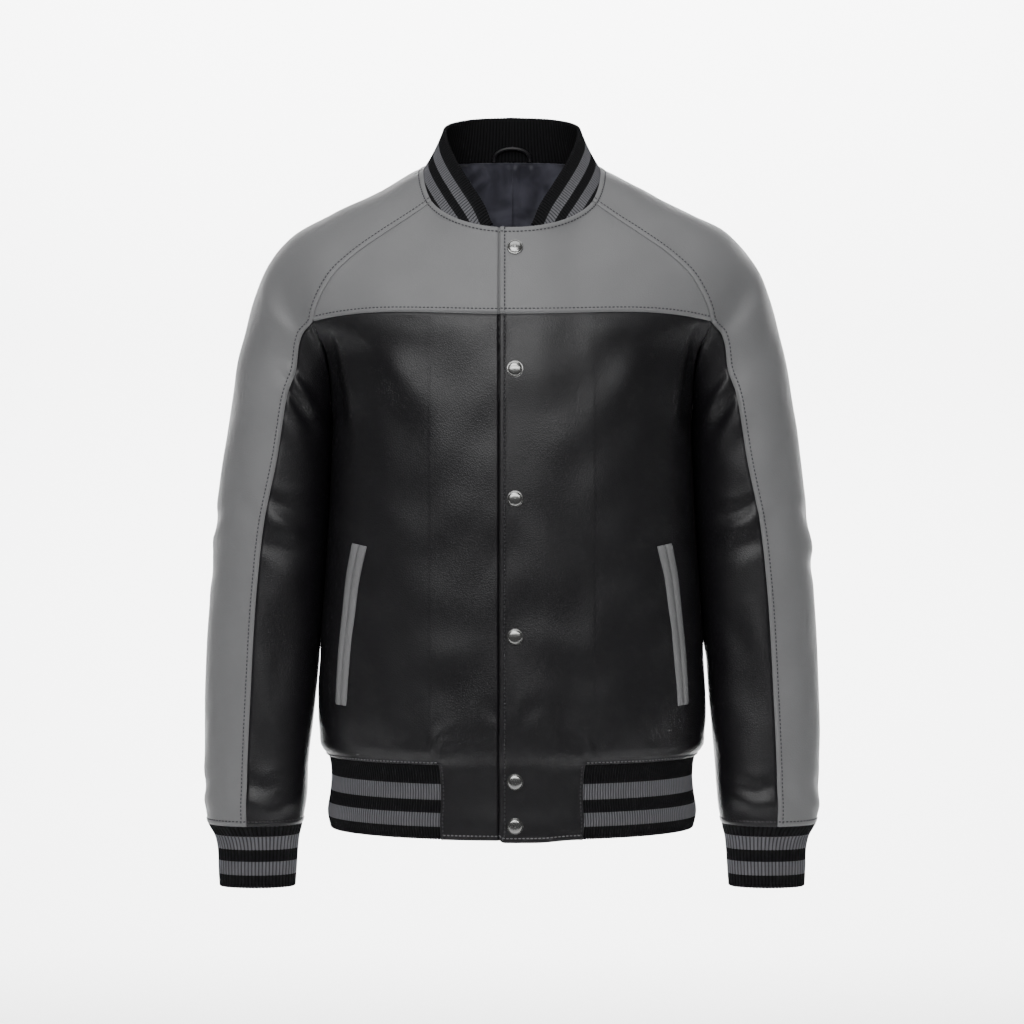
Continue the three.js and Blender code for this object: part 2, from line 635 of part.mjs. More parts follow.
// The neckline from the centre front (0) to the centre back (1), on the wearer's left
const necklineParts = [
  steps(RING_SAMPLES).map((s) => torsoCurve(1, 1).getPoint(s)),
  steps(RING_SAMPLES).map((s) => sleeveCurve(1, 1).getPoint(s)).slice(1),
  steps(RING_SAMPLES).map((s) => sleeveCurve(1, -1).getPoint(1 - s)).slice(1),
  steps(RING_SAMPLES).map((s) => torsoCurve(1, -1).getPoint(1 - s)).slice(1),
];
const NECKLINE_SPANS = 80;
const neckline = new THREE.CatmullRomCurve3(evenly(necklineParts.flat(), NECKLINE_SPANS, false));
const COLLAR_CLEARANCE = 0.6;
const COLLAR_FULL_BULGE_FROM = 0.3;

function collarBand() {
  const rings = COLLAR_RINGS.map((across) => {
    const left = steps(RING_SAMPLES).map((s) => {
      const row = collarRow(s);
      const seam = neckline.getPoint(row.seam);
      const fold = vector(row.x, row.y, row.z);
      const away = vector(row.x, row.y, 0).normalize();
      const start = COLLAR_CLEARANCE / seam.distanceTo(fold);
      const share = start + (1 - start) * across;
      const crown = 4 * across * (1 - across) * smoothStep(0, COLLAR_FULL_BULGE_FROM, s);
      return seam.clone().lerp(fold, share).addScaledVector(away, COLLAR_BULGE * crown);
    });
    const right = left.slice(0, -1).reverse().map((p) => vector(-p.x, p.y, p.z));
    return [...left, ...right];
  });
  return ribBand(rings, COLLAR_RIBS, false, 1, false);
}

// What lies on the front

// The point of the torso front at a place given by its x and z, below the underarm
const FINEST_SHARE = 1e-5;
function frontPoint(x, z) {
  const row = torsoCurve(torsoLevel(z), 1);
  let low = 0;
  let high = 1;
  while (high - low > FINEST_SHARE) {
    const middle = (low + high) / 2;
    if (row.getPoint(middle).x < x) low = middle;
    else high = middle;
  }
  return row.getPoint((low + high) / 2);
}

function frontNormal(x, z) {
  const reach = 2;
  const along = frontPoint(x + reach, z).sub(frontPoint(x - reach, z));
  const up = frontPoint(x, z + reach).sub(frontPoint(x, z - reach));
  return along.cross(up).normalize();
}

// One welt: a strip along the pocket line, on its inner (-1) or outer (1) side.
function pocketWelt(side, strip) {
  const place = new THREE.CatmullRomCurve3(POCKET_ROWS.map((row) => vector(row.x, 0, row.z)));
  const layers = [WELT_CLEARANCE + WELT_WALL, WELT_CLEARANCE];
  const points = layers.flatMap((height) => steps(POCKET_STEPS).flatMap((s) => {
    const middle = place.getPoint(s);
    const normal = frontNormal(middle.x, middle.z);
    const along = place.getTangent(s);
    const tangent = vector(along.x, 0, along.z);
    tangent.addScaledVector(normal, -tangent.dot(normal)).normalize();
    const across = normal.clone().cross(tangent).multiplyScalar(strip);
    return [SEAM_GAP / 2, WELT_WIDTH].map((distance) => {
      const at = middle.clone().addScaledVector(across, distance);
      return frontPoint(at.x, at.z).addScaledVector(frontNormal(at.x, at.z), height);
    });
  }));
  const count = 2 * (POCKET_STEPS + 1);
  const top = [];
  for (let i = 0; i < POCKET_STEPS; i += 1) {
    const a = 2 * i;
    top.push([a, a + 2, a + 3], [a, a + 3, a + 1]);
  }
  const bottom = top.map(([a, b, c]) => [c + count, b + count, a + count]);
  const rims = openEdges(top).flatMap(([a, b]) => [[b, a, a + count], [b, a + count, b + count]]);
  const faces = [...top, ...bottom, ...rims];
  if (side * strip < 0) for (const face of faces) face.reverse();
  return geometryOf(points.map((p) => vector(side * p.x, p.y, p.z)), faces);
}

// A closed mesh whose shared points are merged, with closed-up triangles dropped
function tidy(source) {
  source.deleteAttribute('normal');
  source.deleteAttribute('uv');
  const merged = mergeVertices(source, WELD_GRAIN);
  const index = [...merged.getIndex().array];
  const kept = [];
  for (let i = 0; i < index.length; i += 3) {
    const [a, b, c] = index.slice(i, i + 3);
    if (a !== b && b !== c && c !== a) kept.push(a, b, c);
  }
  merged.setIndex(kept);
  return merged;
}

const SNAP_SIDES = 14;
function snapCap() {
  const rim = 0.55;
  const edge = 0.6 * rim;
  const dome = [0.96, 0.8, 0.5];
  const profile = [
    new THREE.Vector2(0, 0),
    new THREE.Vector2(SNAP_RADIUS, 0),
    new THREE.Vector2(SNAP_RADIUS, SNAP_HEIGHT * edge),
    ...dome.map((share) => new THREE.Vector2(
      SNAP_RADIUS * share, SNAP_HEIGHT * (rim + (1 - rim) * Math.sqrt(1 - share * share)),
    )),
    new THREE.Vector2(0, SNAP_HEIGHT),
  ];
  return tidy(new THREE.LatheGeometry(profile, SNAP_SIDES));
}

// The point of a mesh that faces forwards at a place given by its x and z
const ray = new THREE.Raycaster();
const IN_FRONT_Y = -300;
function faceOf(mesh, x, z) {
  ray.set(vector(x, IN_FRONT_Y, z), vector(0, 1, 0));
  return ray.intersectObject(mesh)[0].point;
}

// Lays a snap on the front of a panel, clear of every bump under it.
function placeSnap(snap, panel, z) {
  const reach = SNAP_RADIUS;
  const middle = faceOf(panel, SNAP_X, z);
  const up = faceOf(panel, SNAP_X, z + reach).sub(faceOf(panel, SNAP_X, z - reach));
  const facing = vector(1, 0, 0).cross(up).normalize();
  const bumps = steps(SNAP_SIDES).map((s) => {
    const turn = 2 * Math.PI * s;
    const place = faceOf(panel, SNAP_X + reach * Math.cos(turn), z + reach * Math.sin(turn));
    return place.sub(middle).dot(facing);
  });
  snap.position.copy(middle).addScaledVector(facing, Math.max(0, ...bumps) + SEAM_GAP);
  snap.quaternion.setFromUnitVectors(vector(0, 1, 0), facing);
}

const LOOP_POINTS = 8;
const LOOP_SQUARENESS = 0.8;
const LOOP_SPANS = 14;
const LOOP_QUARTER_SIDES = 4;
function hangingLoop() {
  const points = steps(LOOP_POINTS).map((s) => {
    const turn = Math.PI * s;
    return vector(
      -LOOP_HALF_WIDTH * Math.cos(turn),
      LOOP_FOOT.y - LOOP_LEAN * Math.sin(turn),
      LOOP_FOOT.z + LOOP_HEIGHT * Math.sin(turn) ** LOOP_SQUARENESS,
    );
  });
  const section = new THREE.Shape();
  section.absarc(0, 0, LOOP_RADIUS, 0, 2 * Math.PI);
  return tidy(new THREE.ExtrudeGeometry(section, {
    steps: LOOP_SPANS,
    curveSegments: LOOP_QUARTER_SIDES,
    extrudePath: new THREE.CatmullRomCurve3(points),
  }));
}

// The jacket

const jacket = new THREE.Group();

function add(name, geometry, material) {
  const mesh = new THREE.Mesh(geometry, material);
  mesh.name = name;
  jacket.add(mesh);
  return mesh;
}

function addLeather(name, faces, normals, material) {
  return add(name, wall(faces, normals, LEATHER_WALL), material);
}

const fronts = {};
for (const [side] of SIDES) {
  const yoke = `front_yoke_${side}`;
  const lower = `front_${side}`;
  fronts[yoke] = addLeather(yoke, patches[yoke], torsoNormals, GREY_LEATHER);
  fronts[lower] = addLeather(lower, patches[lower], torsoNormals, BLACK_LEATHER);
  for (const part of ['front', 'back', 'under']) {
    const name = `sleeve_${part}_${side}`;
    addLeather(name, patches[name], sleeveNormals, part === 'under' ? BLACK_LEATHER : GREY_LEATHER);
  }
  const lining = [...patches[`back_yoke_${side}`], ...patches[`back_${side}`]];
  add(`lining_back_${side}`, wall(lining, torsoNormals, LINING_WALL, LEATHER_WALL + SEAM_GAP), LINING);
}
const wholeYoke = [...patches.back_yoke_left, ...patches.back_yoke_right];
addLeather('back_yoke', wholeYoke, torsoNormals, GREY_LEATHER);
const wholeBack = [...patches.back_left, ...patches.back_right];
addLeather('back', wholeBack, torsoNormals, BLACK_LEATHER);

add('hem_rib', hemBand(), RIB_KNIT);
add('collar_rib', collarBand(), RIB_KNIT);
for (const [name, side] of SIDES) {
  add(`cuff_rib_${name}`, cuffBand(side), RIB_KNIT);
  add(`pocket_welt_inner_${name}`, pocketWelt(side, -1), GREY_LEATHER);
  add(`pocket_welt_outer_${name}`, pocketWelt(side, 1), GREY_LEATHER);
}

jacket.updateMatrixWorld(true);
SNAP_Z.forEach((z, i) => {
  const panel = i === 0 ? fronts.front_yoke_left : fronts.front_left;
  placeSnap(add(`snap_${i + 1}`, snapCap(), NICKEL), panel, z);
});

add('hanging_loop', hangingLoop(), BLACK_LEATHER);

export default jacket;
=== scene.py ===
"""The looks of the varsity jacket: leather, rib knit, satin lining, snaps and stitches.

Sizes are millimetres, in the frame of the CAD model, until a mesh is made. The cloth follows the same
rows as the solids. A level says how high a row is: 1 is the neckline and 0 the underarm. Below the
underarm a torso row has the level (z - UNDERARM_Z) / 1000, and a sleeve row runs from 0 to -1.
"""

import math

import bpy
import numpy as np
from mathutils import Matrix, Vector


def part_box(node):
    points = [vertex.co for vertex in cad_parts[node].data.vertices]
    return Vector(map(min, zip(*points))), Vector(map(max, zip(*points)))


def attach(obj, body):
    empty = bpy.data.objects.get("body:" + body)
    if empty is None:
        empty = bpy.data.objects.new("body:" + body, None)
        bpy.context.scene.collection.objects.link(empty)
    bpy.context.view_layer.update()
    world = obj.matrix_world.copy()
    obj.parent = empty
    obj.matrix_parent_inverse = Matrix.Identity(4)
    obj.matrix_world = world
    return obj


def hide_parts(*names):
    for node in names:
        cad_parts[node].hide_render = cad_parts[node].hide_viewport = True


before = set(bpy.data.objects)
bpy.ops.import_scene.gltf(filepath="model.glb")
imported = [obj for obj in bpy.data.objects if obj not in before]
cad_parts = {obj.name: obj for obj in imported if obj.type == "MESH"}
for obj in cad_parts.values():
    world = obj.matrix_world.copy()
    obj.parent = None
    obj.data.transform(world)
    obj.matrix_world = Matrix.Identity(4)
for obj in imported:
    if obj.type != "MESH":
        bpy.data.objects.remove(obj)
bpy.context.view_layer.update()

MM = 0.001
UNDERARM_Z = -265
HEM_SEAM_Z = -607
HEM_Z = -682
YOKE_LEVEL = 0.437
LAP_LIFT = 3.2
LAP_FLAT_TO = 22
LAP_FADES_AT = 70
OVERLAP = 12
UNDERLAP = 17
TAB_EDGE = 0.238
LEATHER_WALL = 2.0
LINING_WALL = 1.0
LINING_DEPTH = 2.3
RIB_WALL = 3.2
SNAP_X = 3
SNAP_Z = [-92, -215, -343, -479, -623, -667]
SNAP_HEIGHT = 3.4
CUFF_MIDDLE_Y = -19
COLLAR_BULGE = -1.2
LOOP_HALF_WIDTH = 19
LOOP_HEIGHT = 12
LOOP_RADIUS = 1.9
LOOP_FOOT_Y = 69.1
LOOP_FOOT_Z = 19.6
LOOP_LEAN = 5
WELT_WIDTH = 8
WELT_WALL = 1.6
STEP = 5.0
FRONT, BACK = 1, -1
LEFT, RIGHT = 1, -1


def table(columns, rows):
    """A table by column: the names, then one row for each section."""
    return {name: np.array([row[i] for row in rows], float) for i, name in enumerate(columns.split())}


# The torso above the underarm, in front. centre_y and centre_z are on the centre line; x, y and z are
# on the raglan seam; a is the way the body cloth runs into it, and l the way the sleeve cloth leaves.
ROW_COLUMNS = "level centre_y centre_z x y z ax ay az lx ly lz centre_handle seam_handle sleeve_handle"
FRONT_ROWS = table(ROW_COLUMNS, [
    [0.0, -131, -265, 186.0, 5, -265, 0.02, 1.0, 0.0, 0.0, -1.0, 0.0, 124, 90, 0.78],
    [0.11, -130.5, -240, 186.0, -16, -247, 0.05, 1.0, 0.0, 0.25, -0.97, 0.0, 120, 73, 0.65],
    [0.22, -129.5, -214, 186.5, -33, -223, 0.15, 0.98, 0.0, 0.5, -0.85, 0.05, 118, 62, 0.52],
    [0.33, -127.5, -187, 191.0, -54, -192, 0.5, 0.86, 0.0, 0.8, -0.5, 0.2, 110, 50, 0.44],
    [YOKE_LEVEL, -123.5, -160, 201.0, -77, -164, 0.86, 0.48, -0.18, 0.8, 0.5, 0.35, 82, 74, 0.38],
    [0.56, -120.5, -144, 185.0, -82, -123.5, 0.91, 0.4, 0.06, 0.65, 0.5, 0.57, 72, 66, 0.37],
    [0.68, -116.0, -127, 160.5, -78, -97, 0.93, 0.36, 0.1, 0.5, 0.55, 0.67, 62, 58, 0.36],
    [0.8, -109.5, -108, 130.5, -69.5, -74.5, 0.9, 0.35, 0.23, 0.4, 0.6, 0.7, 51, 49, 0.36],
    [0.9, -102.0, -91, 106.0, -61, -57, 0.8, 0.48, 0.35, 0.35, 0.68, 0.65, 46, 40, 0.36],
    [1.0, -93.0, -71, 82.0, -52, -39, 0.33, 0.76, 0.56, 0.33, 0.76, 0.56, 45, 28, 0.36],
])
BACK_ROWS = table(ROW_COLUMNS, [
    [0.0, 121, -265, 186.0, 5, -265, 0.02, -1.0, 0.0, 0.0, 1.0, 0.0, 124, 77, 0.78],
    [0.11, 123, -240, 186.0, 25, -246, 0.05, -1.0, 0.0, 0.25, 0.97, 0.0, 119, 63, 0.65],
    [0.22, 124, -214, 187.5, 45, -220, 0.15, -0.98, 0.0, 0.5, 0.85, 0.05, 118, 58, 0.52],
    [0.33, 123.5, -187, 191.0, 64, -192, 0.5, -0.86, 0.0, 0.8, 0.5, 0.2, 112, 48, 0.44],
    [YOKE_LEVEL, 121.5, -160, 194.0, 82, -160, 0.88, -0.45, 0.0, 0.8, -0.4, 0.45, 95, 66, 0.38],
    [0.56, 116.5, -121, 179.0, 87, -105, 0.93, -0.36, 0.05, 0.7, -0.5, 0.5, 84, 58, 0.37],
    [0.68, 109.0, -83, 157.0, 83, -62, 0.92, -0.36, 0.12, 0.5, -0.65, 0.57, 72, 50, 0.36],
    [0.8, 99.0, -45, 131.0, 74, -28, 0.9, -0.4, 0.15, 0.35, -0.75, 0.5, 60, 42, 0.36],
    [0.9, 89.0, -13, 106.0, 62, -4, 0.8, -0.58, 0.1, 0.3, -0.9, 0.25, 50, 36, 0.36],
    [1.0, 76.0, 19, 80.0, 48, 14, 0.55, -0.82, -0.12, 0.4, -0.88, -0.2, 42, 30, 0.36],
])
OVERARM_ROWS = table("level x y z rise", [
    [0.0, 293.0, 5, -250, 0],
    [0.11, 286.5, 5, -211.5, 0],
    [0.22, 278.5, 5, -173, 0],
    [0.33, 268.8, 5, -135.5, 0],
    [YOKE_LEVEL, 253.5, 5, -100, 0],
    [0.56, 224.5, 4, -67, 0],
    [0.68, 187.0, 3, -46.5, 0.05],
    [0.8, 149.0, 2, -28, 0.12],
    [0.9, 117.0, 1, -12, 0.2],
    [1.0, 92.0, 0, 0, 0.3],
])
TORSO_ROWS = table("z half_width side_y front_y back_y front_fullness side_fullness", [
    [-265, 186.0, 5, -131.0, 121.0, 0.667, 0.66],
    [-305, 187.2, 5, -131.5, 118.0, 0.662, 0.655],
    [-350, 189.0, 5, -131.0, 113.5, 0.655, 0.64],
    [-400, 192.0, 4, -129.5, 109.5, 0.648, 0.625],
    [-450, 195.7, 2, -128.5, 107.5, 0.638, 0.61],
    [-500, 198.8, 0, -128.0, 108.0, 0.62, 0.61],
    [-545, 200.8, -2, -128.0, 110.0, 0.61, 0.6],
    [-580, 199.8, -3, -127.0, 110.0, 0.6, 0.59],
    [-597, 196.5, -3, -124.5, 107.0, 0.59, 0.58],
    [HEM_SEAM_Z, 190.0, -3, -121.0, 103.5, 0.58, 0.57],
    [-625, 186.8, -3, -119.5, 102.0, 0.57, 0.56],
    [-645, 188.0, -3, -119.0, 102.0, 0.56, 0.56],
    [-666, 190.8, -3, -119.5, 102.5, 0.56, 0.56],
    [HEM_Z, 187.5, -3, -118.0, 101.0, 0.56, 0.56],
])
SLEEVE_ROWS = table("reach inner_x outer_x y inner_z outer_z depth", [
    [0.0, 186.0, 293.0, 5, -265, -250, 62.0],
    [0.1, 188.2, 300.0, 5, -306, -298, 61.0],
    [0.25, 191.6, 308.0, 4, -368, -366, 58.5],
    [0.4, 195.4, 313.0, 2, -430, -430, 56.0],
    [0.55, 199.4, 316.8, 0, -492, -492, 53.0],
    [0.7, 204.5, 318.6, -6, -553, -553, 49.0],
    [0.85, 210.0, 317.6, -13, -612, -612, 45.0],
    [0.96, 213.6, 316.0, -18, -660, -660, 42.0],
    [1.0, 215.6, 314.0, -19, -676, -676, 39.5],
])
SLEEVE_SPLIT = table("level share", [
    [-1, 0.535], [-0.7, 0.53], [-0.4, 0.53], [-0.25, 0.515], [-0.1, 0.47], [0, 0.45], [0.11, 0.39],
    [0.22, 0.3], [0.33, 0.2], [YOKE_LEVEL, 0],
])
CUFF_ROWS = table("drop inner_x outer_x z depth", [
    [0.0, 216.2, 313.4, -676.5, 38.8],
    [0.18, 219.4, 306.4, -688, 30.5],
    [0.35, 220.8, 303.6, -699, 26.6],
    [0.7, 222.4, 302.4, -722, 25.0],
    [1.0, 223.8, 301.4, -741, 24.2],
])
COLLAR_ROWS = table("along seam x y z", [
    [0.0, 0.075, 20.5, -92.0, -66.5],
    [0.12, 0.16, 28.5, -81.0, -46.0],
    [0.26, 0.255, 42.5, -62.0, -22.0],
    [0.42, 0.38, 59.0, -34.0, 7.5],
    [0.58, 0.53, 69.5, -2.0, 35.5],
    [0.72, 0.68, 68.5, 27.0, 51.0],
    [0.86, 0.84, 43.5, 55.0, 61.5],
    [1.0, 1.0, 0.0, 65.0, 65.0],
])
POCKET_ROWS = table("x z", [[153.0, -389], [159.5, -420], [164.5, -460], [169.0, -500], [172.5, -551]])

# Where the grey stripes of each rib are, in millimetres from its folded edge
HEM_STRIPES = [(12.9, 26.7), (39.6, 55.4)]
CUFF_STRIPES = [(13.4, 27.2), (39.5, 54.3)]
COLLAR_STRIPES = [(11.8, 21.5), (30.2, 39.5)]

# Creases, as (depth, width, points), by the face and the part they are on. The points are (across, z) as
# that face is seen: across is x on the front and the back, and y on the outer side. depth is positive
# for a ridge and negative for a trough.
CREASES = {
    # The front, beside the armhole, down the chest and above the hem
    ("front", "body"): [
        (-2.2, 7, [(188, -178), (181, -215), (178, -262), (180, -320)]),
        (1.6, 10, [(172, -190), (163, -235), (160, -300)]),
        (-1.2, 12, [(150, -200), (128, -245), (96, -285)]),
        (0.9, 14, [(132, -190), (104, -232), (62, -262)]),
        (-0.8, 11, [(60, -590), (52, -560), (58, -520)]),
        (0.8, 9, [(96, -598), (88, -572), (92, -540)]),
        (-1.3, 5, [(74, -602), (66, -588), (54, -580)]),
        (1.2, 5, [(82, -598), (72, -582), (58, -572)]),
        (-1.0, 6, [(8, -572), (16, -556), (26, -546)]),
        (-0.9, 10, [(150, -598), (138, -570), (140, -535)]),
        (-0.7, 16, [(22, -350), (60, -390), (110, -410)]),
        (0.7, 16, [(24, -480), (70, -500), (120, -492)]),
    ],
    # The sleeve, from the front
    ("front", "sleeve"): [
        (2.9, 5, [(224, -212), (211, -234), (197, -256)]),
        (-2.6, 5, [(230, -230), (215, -253), (200, -274)]),
        (1.5, 8, [(236, -258), (220, -282), (204, -300)]),
        (-1.8, 7, [(252, -338), (232, -352), (208, -358)]),
        (1.6, 8, [(256, -356), (236, -368), (210, -378)]),
        (-1.4, 8, [(262, -388), (240, -392), (214, -404)]),
        (-1.1, 10, [(290, -330), (270, -352), (256, -368)]),
        (1.8, 7, [(222, -646), (246, -656), (268, -652)]),
        (-1.6, 7, [(220, -630), (248, -640), (276, -634)]),
        (-1.2, 8, [(296, -655), (282, -640), (262, -622)]),
        (-0.9, 12, [(226, -470), (242, -520), (236, -570)]),
        (1.0, 12, [(244, -450), (258, -500), (252, -560)]),
        (-1.1, 14, [(238, -120), (226, -150), (220, -186)]),
    ],
    # The outer side of the sleeve
    ("outer", "sleeve"): [
        (-1.5, 9, [(-36, -352), (-4, -366), (34, -352)]),
        (1.3, 10, [(-38, -378), (-2, -390), (36, -380)]),
        (-1.2, 10, [(-30, -410), (4, -416), (34, -402)]),
        (-1.3, 8, [(-48, -628), (-20, -640), (10, -632)]),
        (1.2, 8, [(-46, -648), (-18, -656), (12, -650)]),
    ],
    # The back, from the armhole and above the hem
    ("back", "body"): [
        (-2.4, 8, [(186, -180), (178, -225), (174, -285)]),
        (1.6, 11, [(168, -188), (154, -240), (146, -310)]),
        (-1.5, 13, [(160, -250), (120, -292), (66, -318)]),
        (1.3, 14, [(158, -280), (116, -324), (58, -350)]),
        (-1.2, 14, [(20, -300), (14, -380), (24, -460)]),
        (-1.4, 10, [(40, -600), (34, -565), (44, -520)]),
        (1.1, 10, [(78, -600), (72, -568), (80, -530)]),
        (-1.3, 10, [(122, -600), (112, -566), (116, -522)]),
        (1.0, 10, [(158, -600), (150, -568), (152, -530)]),
        (-1.0, 16, [(150, -430), (90, -448), (30, -440)]),
    ],
    # The sleeve, from the back
    ("back", "sleeve"): [
        (-2.3, 7, [(232, -216), (216, -246), (200, -272)]),
        (1.8, 8, [(244, -236), (226, -266), (206, -292)]),
        (-2.2, 7, [(286, -340), (254, -352), (216, -346)]),
        (1.9, 8, [(290, -362), (256, -372), (216, -368)]),
        (-1.9, 8, [(288, -386), (258, -396), (220, -390)]),
        (-1.5, 8, [(284, -640), (256, -628), (230, -636)]),
        (-1.0, 12, [(252, -460), (262, -520), (256, -580)]),
    ],
}


def track(rows, key):
    """A function that reads every column of a table on a smooth curve through its rows."""
    order = np.argsort(rows[key])
    keys = rows[key][order]
    gaps = np.diff(keys)
    columns = {}
    for name, unsorted in rows.items():
        values = unsorted[order]
        rises = np.diff(values) / gaps
        inner = (rises[1:] * gaps[:-1] + rises[:-1] * gaps[1:]) / (gaps[:-1] + gaps[1:])
        columns[name] = values, np.concatenate([rises[:1], inner, rises[-1:]])

    def read(at):
        at = np.asarray(at, float)
        i = np.clip(np.searchsorted(keys, at) - 1, 0, len(gaps) - 1)
        s = np.clip((at - keys[i]) / gaps[i], 0, 1)
        return {
            name: values[i] * (1 + 2 * s) * (1 - s) ** 2 + values[i + 1] * s * s * (3 - 2 * s)
            + gaps[i] * s * (1 - s) * (slopes[i] * (1 - s) - slopes[i + 1] * s)
            for name, (values, slopes) in columns.items()
        }

    return read


front_row = track(FRONT_ROWS, "level")
back_row = track(BACK_ROWS, "level")
overarm = track(OVERARM_ROWS, "level")
torso_row = track(TORSO_ROWS, "z")
sleeve_row = track(SLEEVE_ROWS, "reach")
sleeve_split = track(SLEEVE_SPLIT, "level")
cuff_row = track(CUFF_ROWS, "drop")
collar_row = track(COLLAR_ROWS, "along")


def points(x, y, z):
    """An array of points from coordinates that are arrays or single numbers."""
    return np.stack(np.broadcast_arrays(np.asarray(x, float), y, z), axis=-1)


def unit(vectors):
    length = np.linalg.norm(vectors, axis=-1, keepdims=True)
    return vectors / np.maximum(length, 1e-9)


def smooth_step(low, high, value):
    s = np.clip((value - low) / (high - low), 0, 1)
    return s * s * (3 - 2 * s)


def hump(distance, width):
    """A soft bump of height 1 that is gone at about twice its width."""
    return np.exp(-((distance / width) ** 2))


def curves(start, start_way, start_handle, end, end_way, end_handle):
    """Control points of cubic curves, one for each row."""
    leaving = start + unit(start_way) * np.reshape(start_handle, (-1, 1))
    arriving = end - unit(end_way) * np.reshape(end_handle, (-1, 1))
    return np.stack([start, leaving, arriving, end], axis=1)


def along(controls, shares):
    """Points on each curve at its shares, which are one row for all curves or one for each."""
    t = np.broadcast_to(shares, (len(controls), np.shape(shares)[-1]))[..., None]
    a, b, c, d = (controls[:, None, k] for k in range(4))
    return a * (1 - t) ** 3 + 3 * b * t * (1 - t) ** 2 + 3 * c * t * t * (1 - t) + d * t ** 3


def choose(high, upper, lower):
    return np.where(high.reshape((-1,) + (1,) * (upper.ndim - 1)), upper, lower)


def torso_rows(levels, front):
    row = (front_row if front > 0 else back_row)(np.maximum(levels, 0))
    upper = curves(
        points(0, row["centre_y"], row["centre_z"]), points(np.ones(len(levels)), 0, 0), row["centre_handle"],
        points(row["x"], row["y"], row["z"]), points(row["ax"], row["ay"], row["az"]), row["seam_handle"],
    )
    z = UNDERARM_Z + 1000 * np.minimum(levels, 0)
    row = torso_row(z)
    centre_y = row["front_y"] if front > 0 else row["back_y"]
    depth = np.abs(centre_y - row["side_y"])
    lower = curves(
        points(0, centre_y, z), points(np.ones(len(levels)), 0, 0), row["front_fullness"] * row["half_width"],
        points(row["half_width"], row["side_y"], z), points(np.zeros(len(levels)), front, 0),
        row["side_fullness"] * depth,
    )
    return choose(levels >= 0, upper, lower)


def sleeve_rows(levels, front):
    above = np.maximum(levels, 0)
    seam = (front_row if front > 0 else back_row)(above)
    top = overarm(above)
    start = points(seam["x"], seam["y"], seam["z"])
    end = points(top["x"], top["y"], top["z"])
    handle = seam["sleeve_handle"] * np.linalg.norm(end - start, axis=1)
    upper = curves(
        start, points(seam["lx"], seam["ly"], seam["lz"]), handle,
        end, points(0 * top["rise"], front, front * top["rise"]), handle,
    )
    row = sleeve_row(np.maximum(-levels, 0))
    handle = row["depth"] * 4 / 3
    lower = curves(
        points(row["inner_x"], row["y"], row["inner_z"]), points(0 * handle, -front, 0), handle,
        points(row["outer_x"], row["y"], row["outer_z"]), points(0 * handle, front, 0), handle,
    )
    return choose(levels >= 0, upper, lower)


# The rows above and below the underarm are bridged over this much level, so that no kink shows.
BRIDGE = 0.045
SLOPE_STEP = 0.001


def bridged(rows_at, levels, front):
    levels = np.asarray(levels, float)
    ends = rows_at(np.array([-BRIDGE - SLOPE_STEP, -BRIDGE, BRIDGE, BRIDGE + SLOPE_STEP]), front)
    low, high = ends[1], ends[2]
    low_slope = (ends[1] - ends[0]) / SLOPE_STEP * 2 * BRIDGE
    high_slope = (ends[3] - ends[2]) / SLOPE_STEP * 2 * BRIDGE
    s = np.clip((levels + BRIDGE) / (2 * BRIDGE), 0, 1)[:, None, None]
    bridge = low * (1 + 2 * s) * (1 - s) ** 2 + high * s * s * (3 - 2 * s)
    bridge = bridge + s * (1 - s) * (low_slope * (1 - s) - high_slope * s)
    return np.where(np.abs(levels)[:, None, None] < BRIDGE, bridge, rows_at(levels, front))


def torso_curves(levels, front):
    """Rows of the torso on the wearer's left, from the centre to the raglan or side seam."""
    return bridged(torso_rows, levels, front)


def sleeve_curves(levels, front):
    """Rows of the left sleeve: half a ring, from its inner line to the overarm line."""
    return bridged(sleeve_rows, levels, front)


# Spacing of rows and columns

EDGE_MARKS = np.array([0, 0.5, 1.1, 1.8, 2.6, 3.5, 4.4, 5.2, 6.0, 7.0, 8.5])


def marks(length, step=STEP):
    """Distances from 0 to length, closer together near both ends."""
    near = EDGE_MARKS[EDGE_MARKS < length * 0.45]
    count = max(1, round((length - 2 * near[-1]) / step))
    middle = np.linspace(near[-1], length - near[-1], count + 1)[1:-1]
    return np.concatenate([near, middle, (length - near)[::-1]])


def far(line):
    """How far each point is along a line of points."""
    return np.concatenate([[0], np.cumsum(np.linalg.norm(np.diff(line, axis=0), axis=1))])


def at_marks(values, line, step=STEP):
    """The values, given at points of a line, at marks along that line."""
    lengths = far(line)
    return np.interp(marks(lengths[-1], step), lengths, values)


SAMPLES = 300


def torso_levels(high, low, front):
    levels = np.linspace(high, low, SAMPLES)
    return at_marks(levels, along(torso_curves(levels, front), np.array([0.5]))[:, 0])


def sleeve_levels(high, low):
    levels = np.linspace(high, low, SAMPLES)
    return at_marks(levels, along(sleeve_curves(levels, FRONT), np.array([0.8]))[:, 0])


def torso_shares(low, high, front):
    shares = np.linspace(low, high, SAMPLES)
    return at_marks(shares, along(torso_curves([-0.1], front), shares)[0])


# Grids of points for the panels, on the wearer's left

def lap_lift(x):
    return LAP_LIFT * (1 - smooth_step(LAP_FLAT_TO, LAP_FADES_AT, x))


def front_grid(levels, shares, side):
    """The front, with the strip beyond the centre line. A share below 0 is that many mm beyond."""
    controls = torso_curves(levels, FRONT)
    grid = along(controls, np.maximum(shares, 0)[None, :])
    grid[..., 0] += np.minimum(shares, 0)
    if side == LEFT:
        grid[..., 1] -= lap_lift(grid[..., 0])
        round_corner(grid)
    grid[..., 0] *= side
    return grid


CORNER_RADIUS = 6.0
TAB_DROP = 1.8


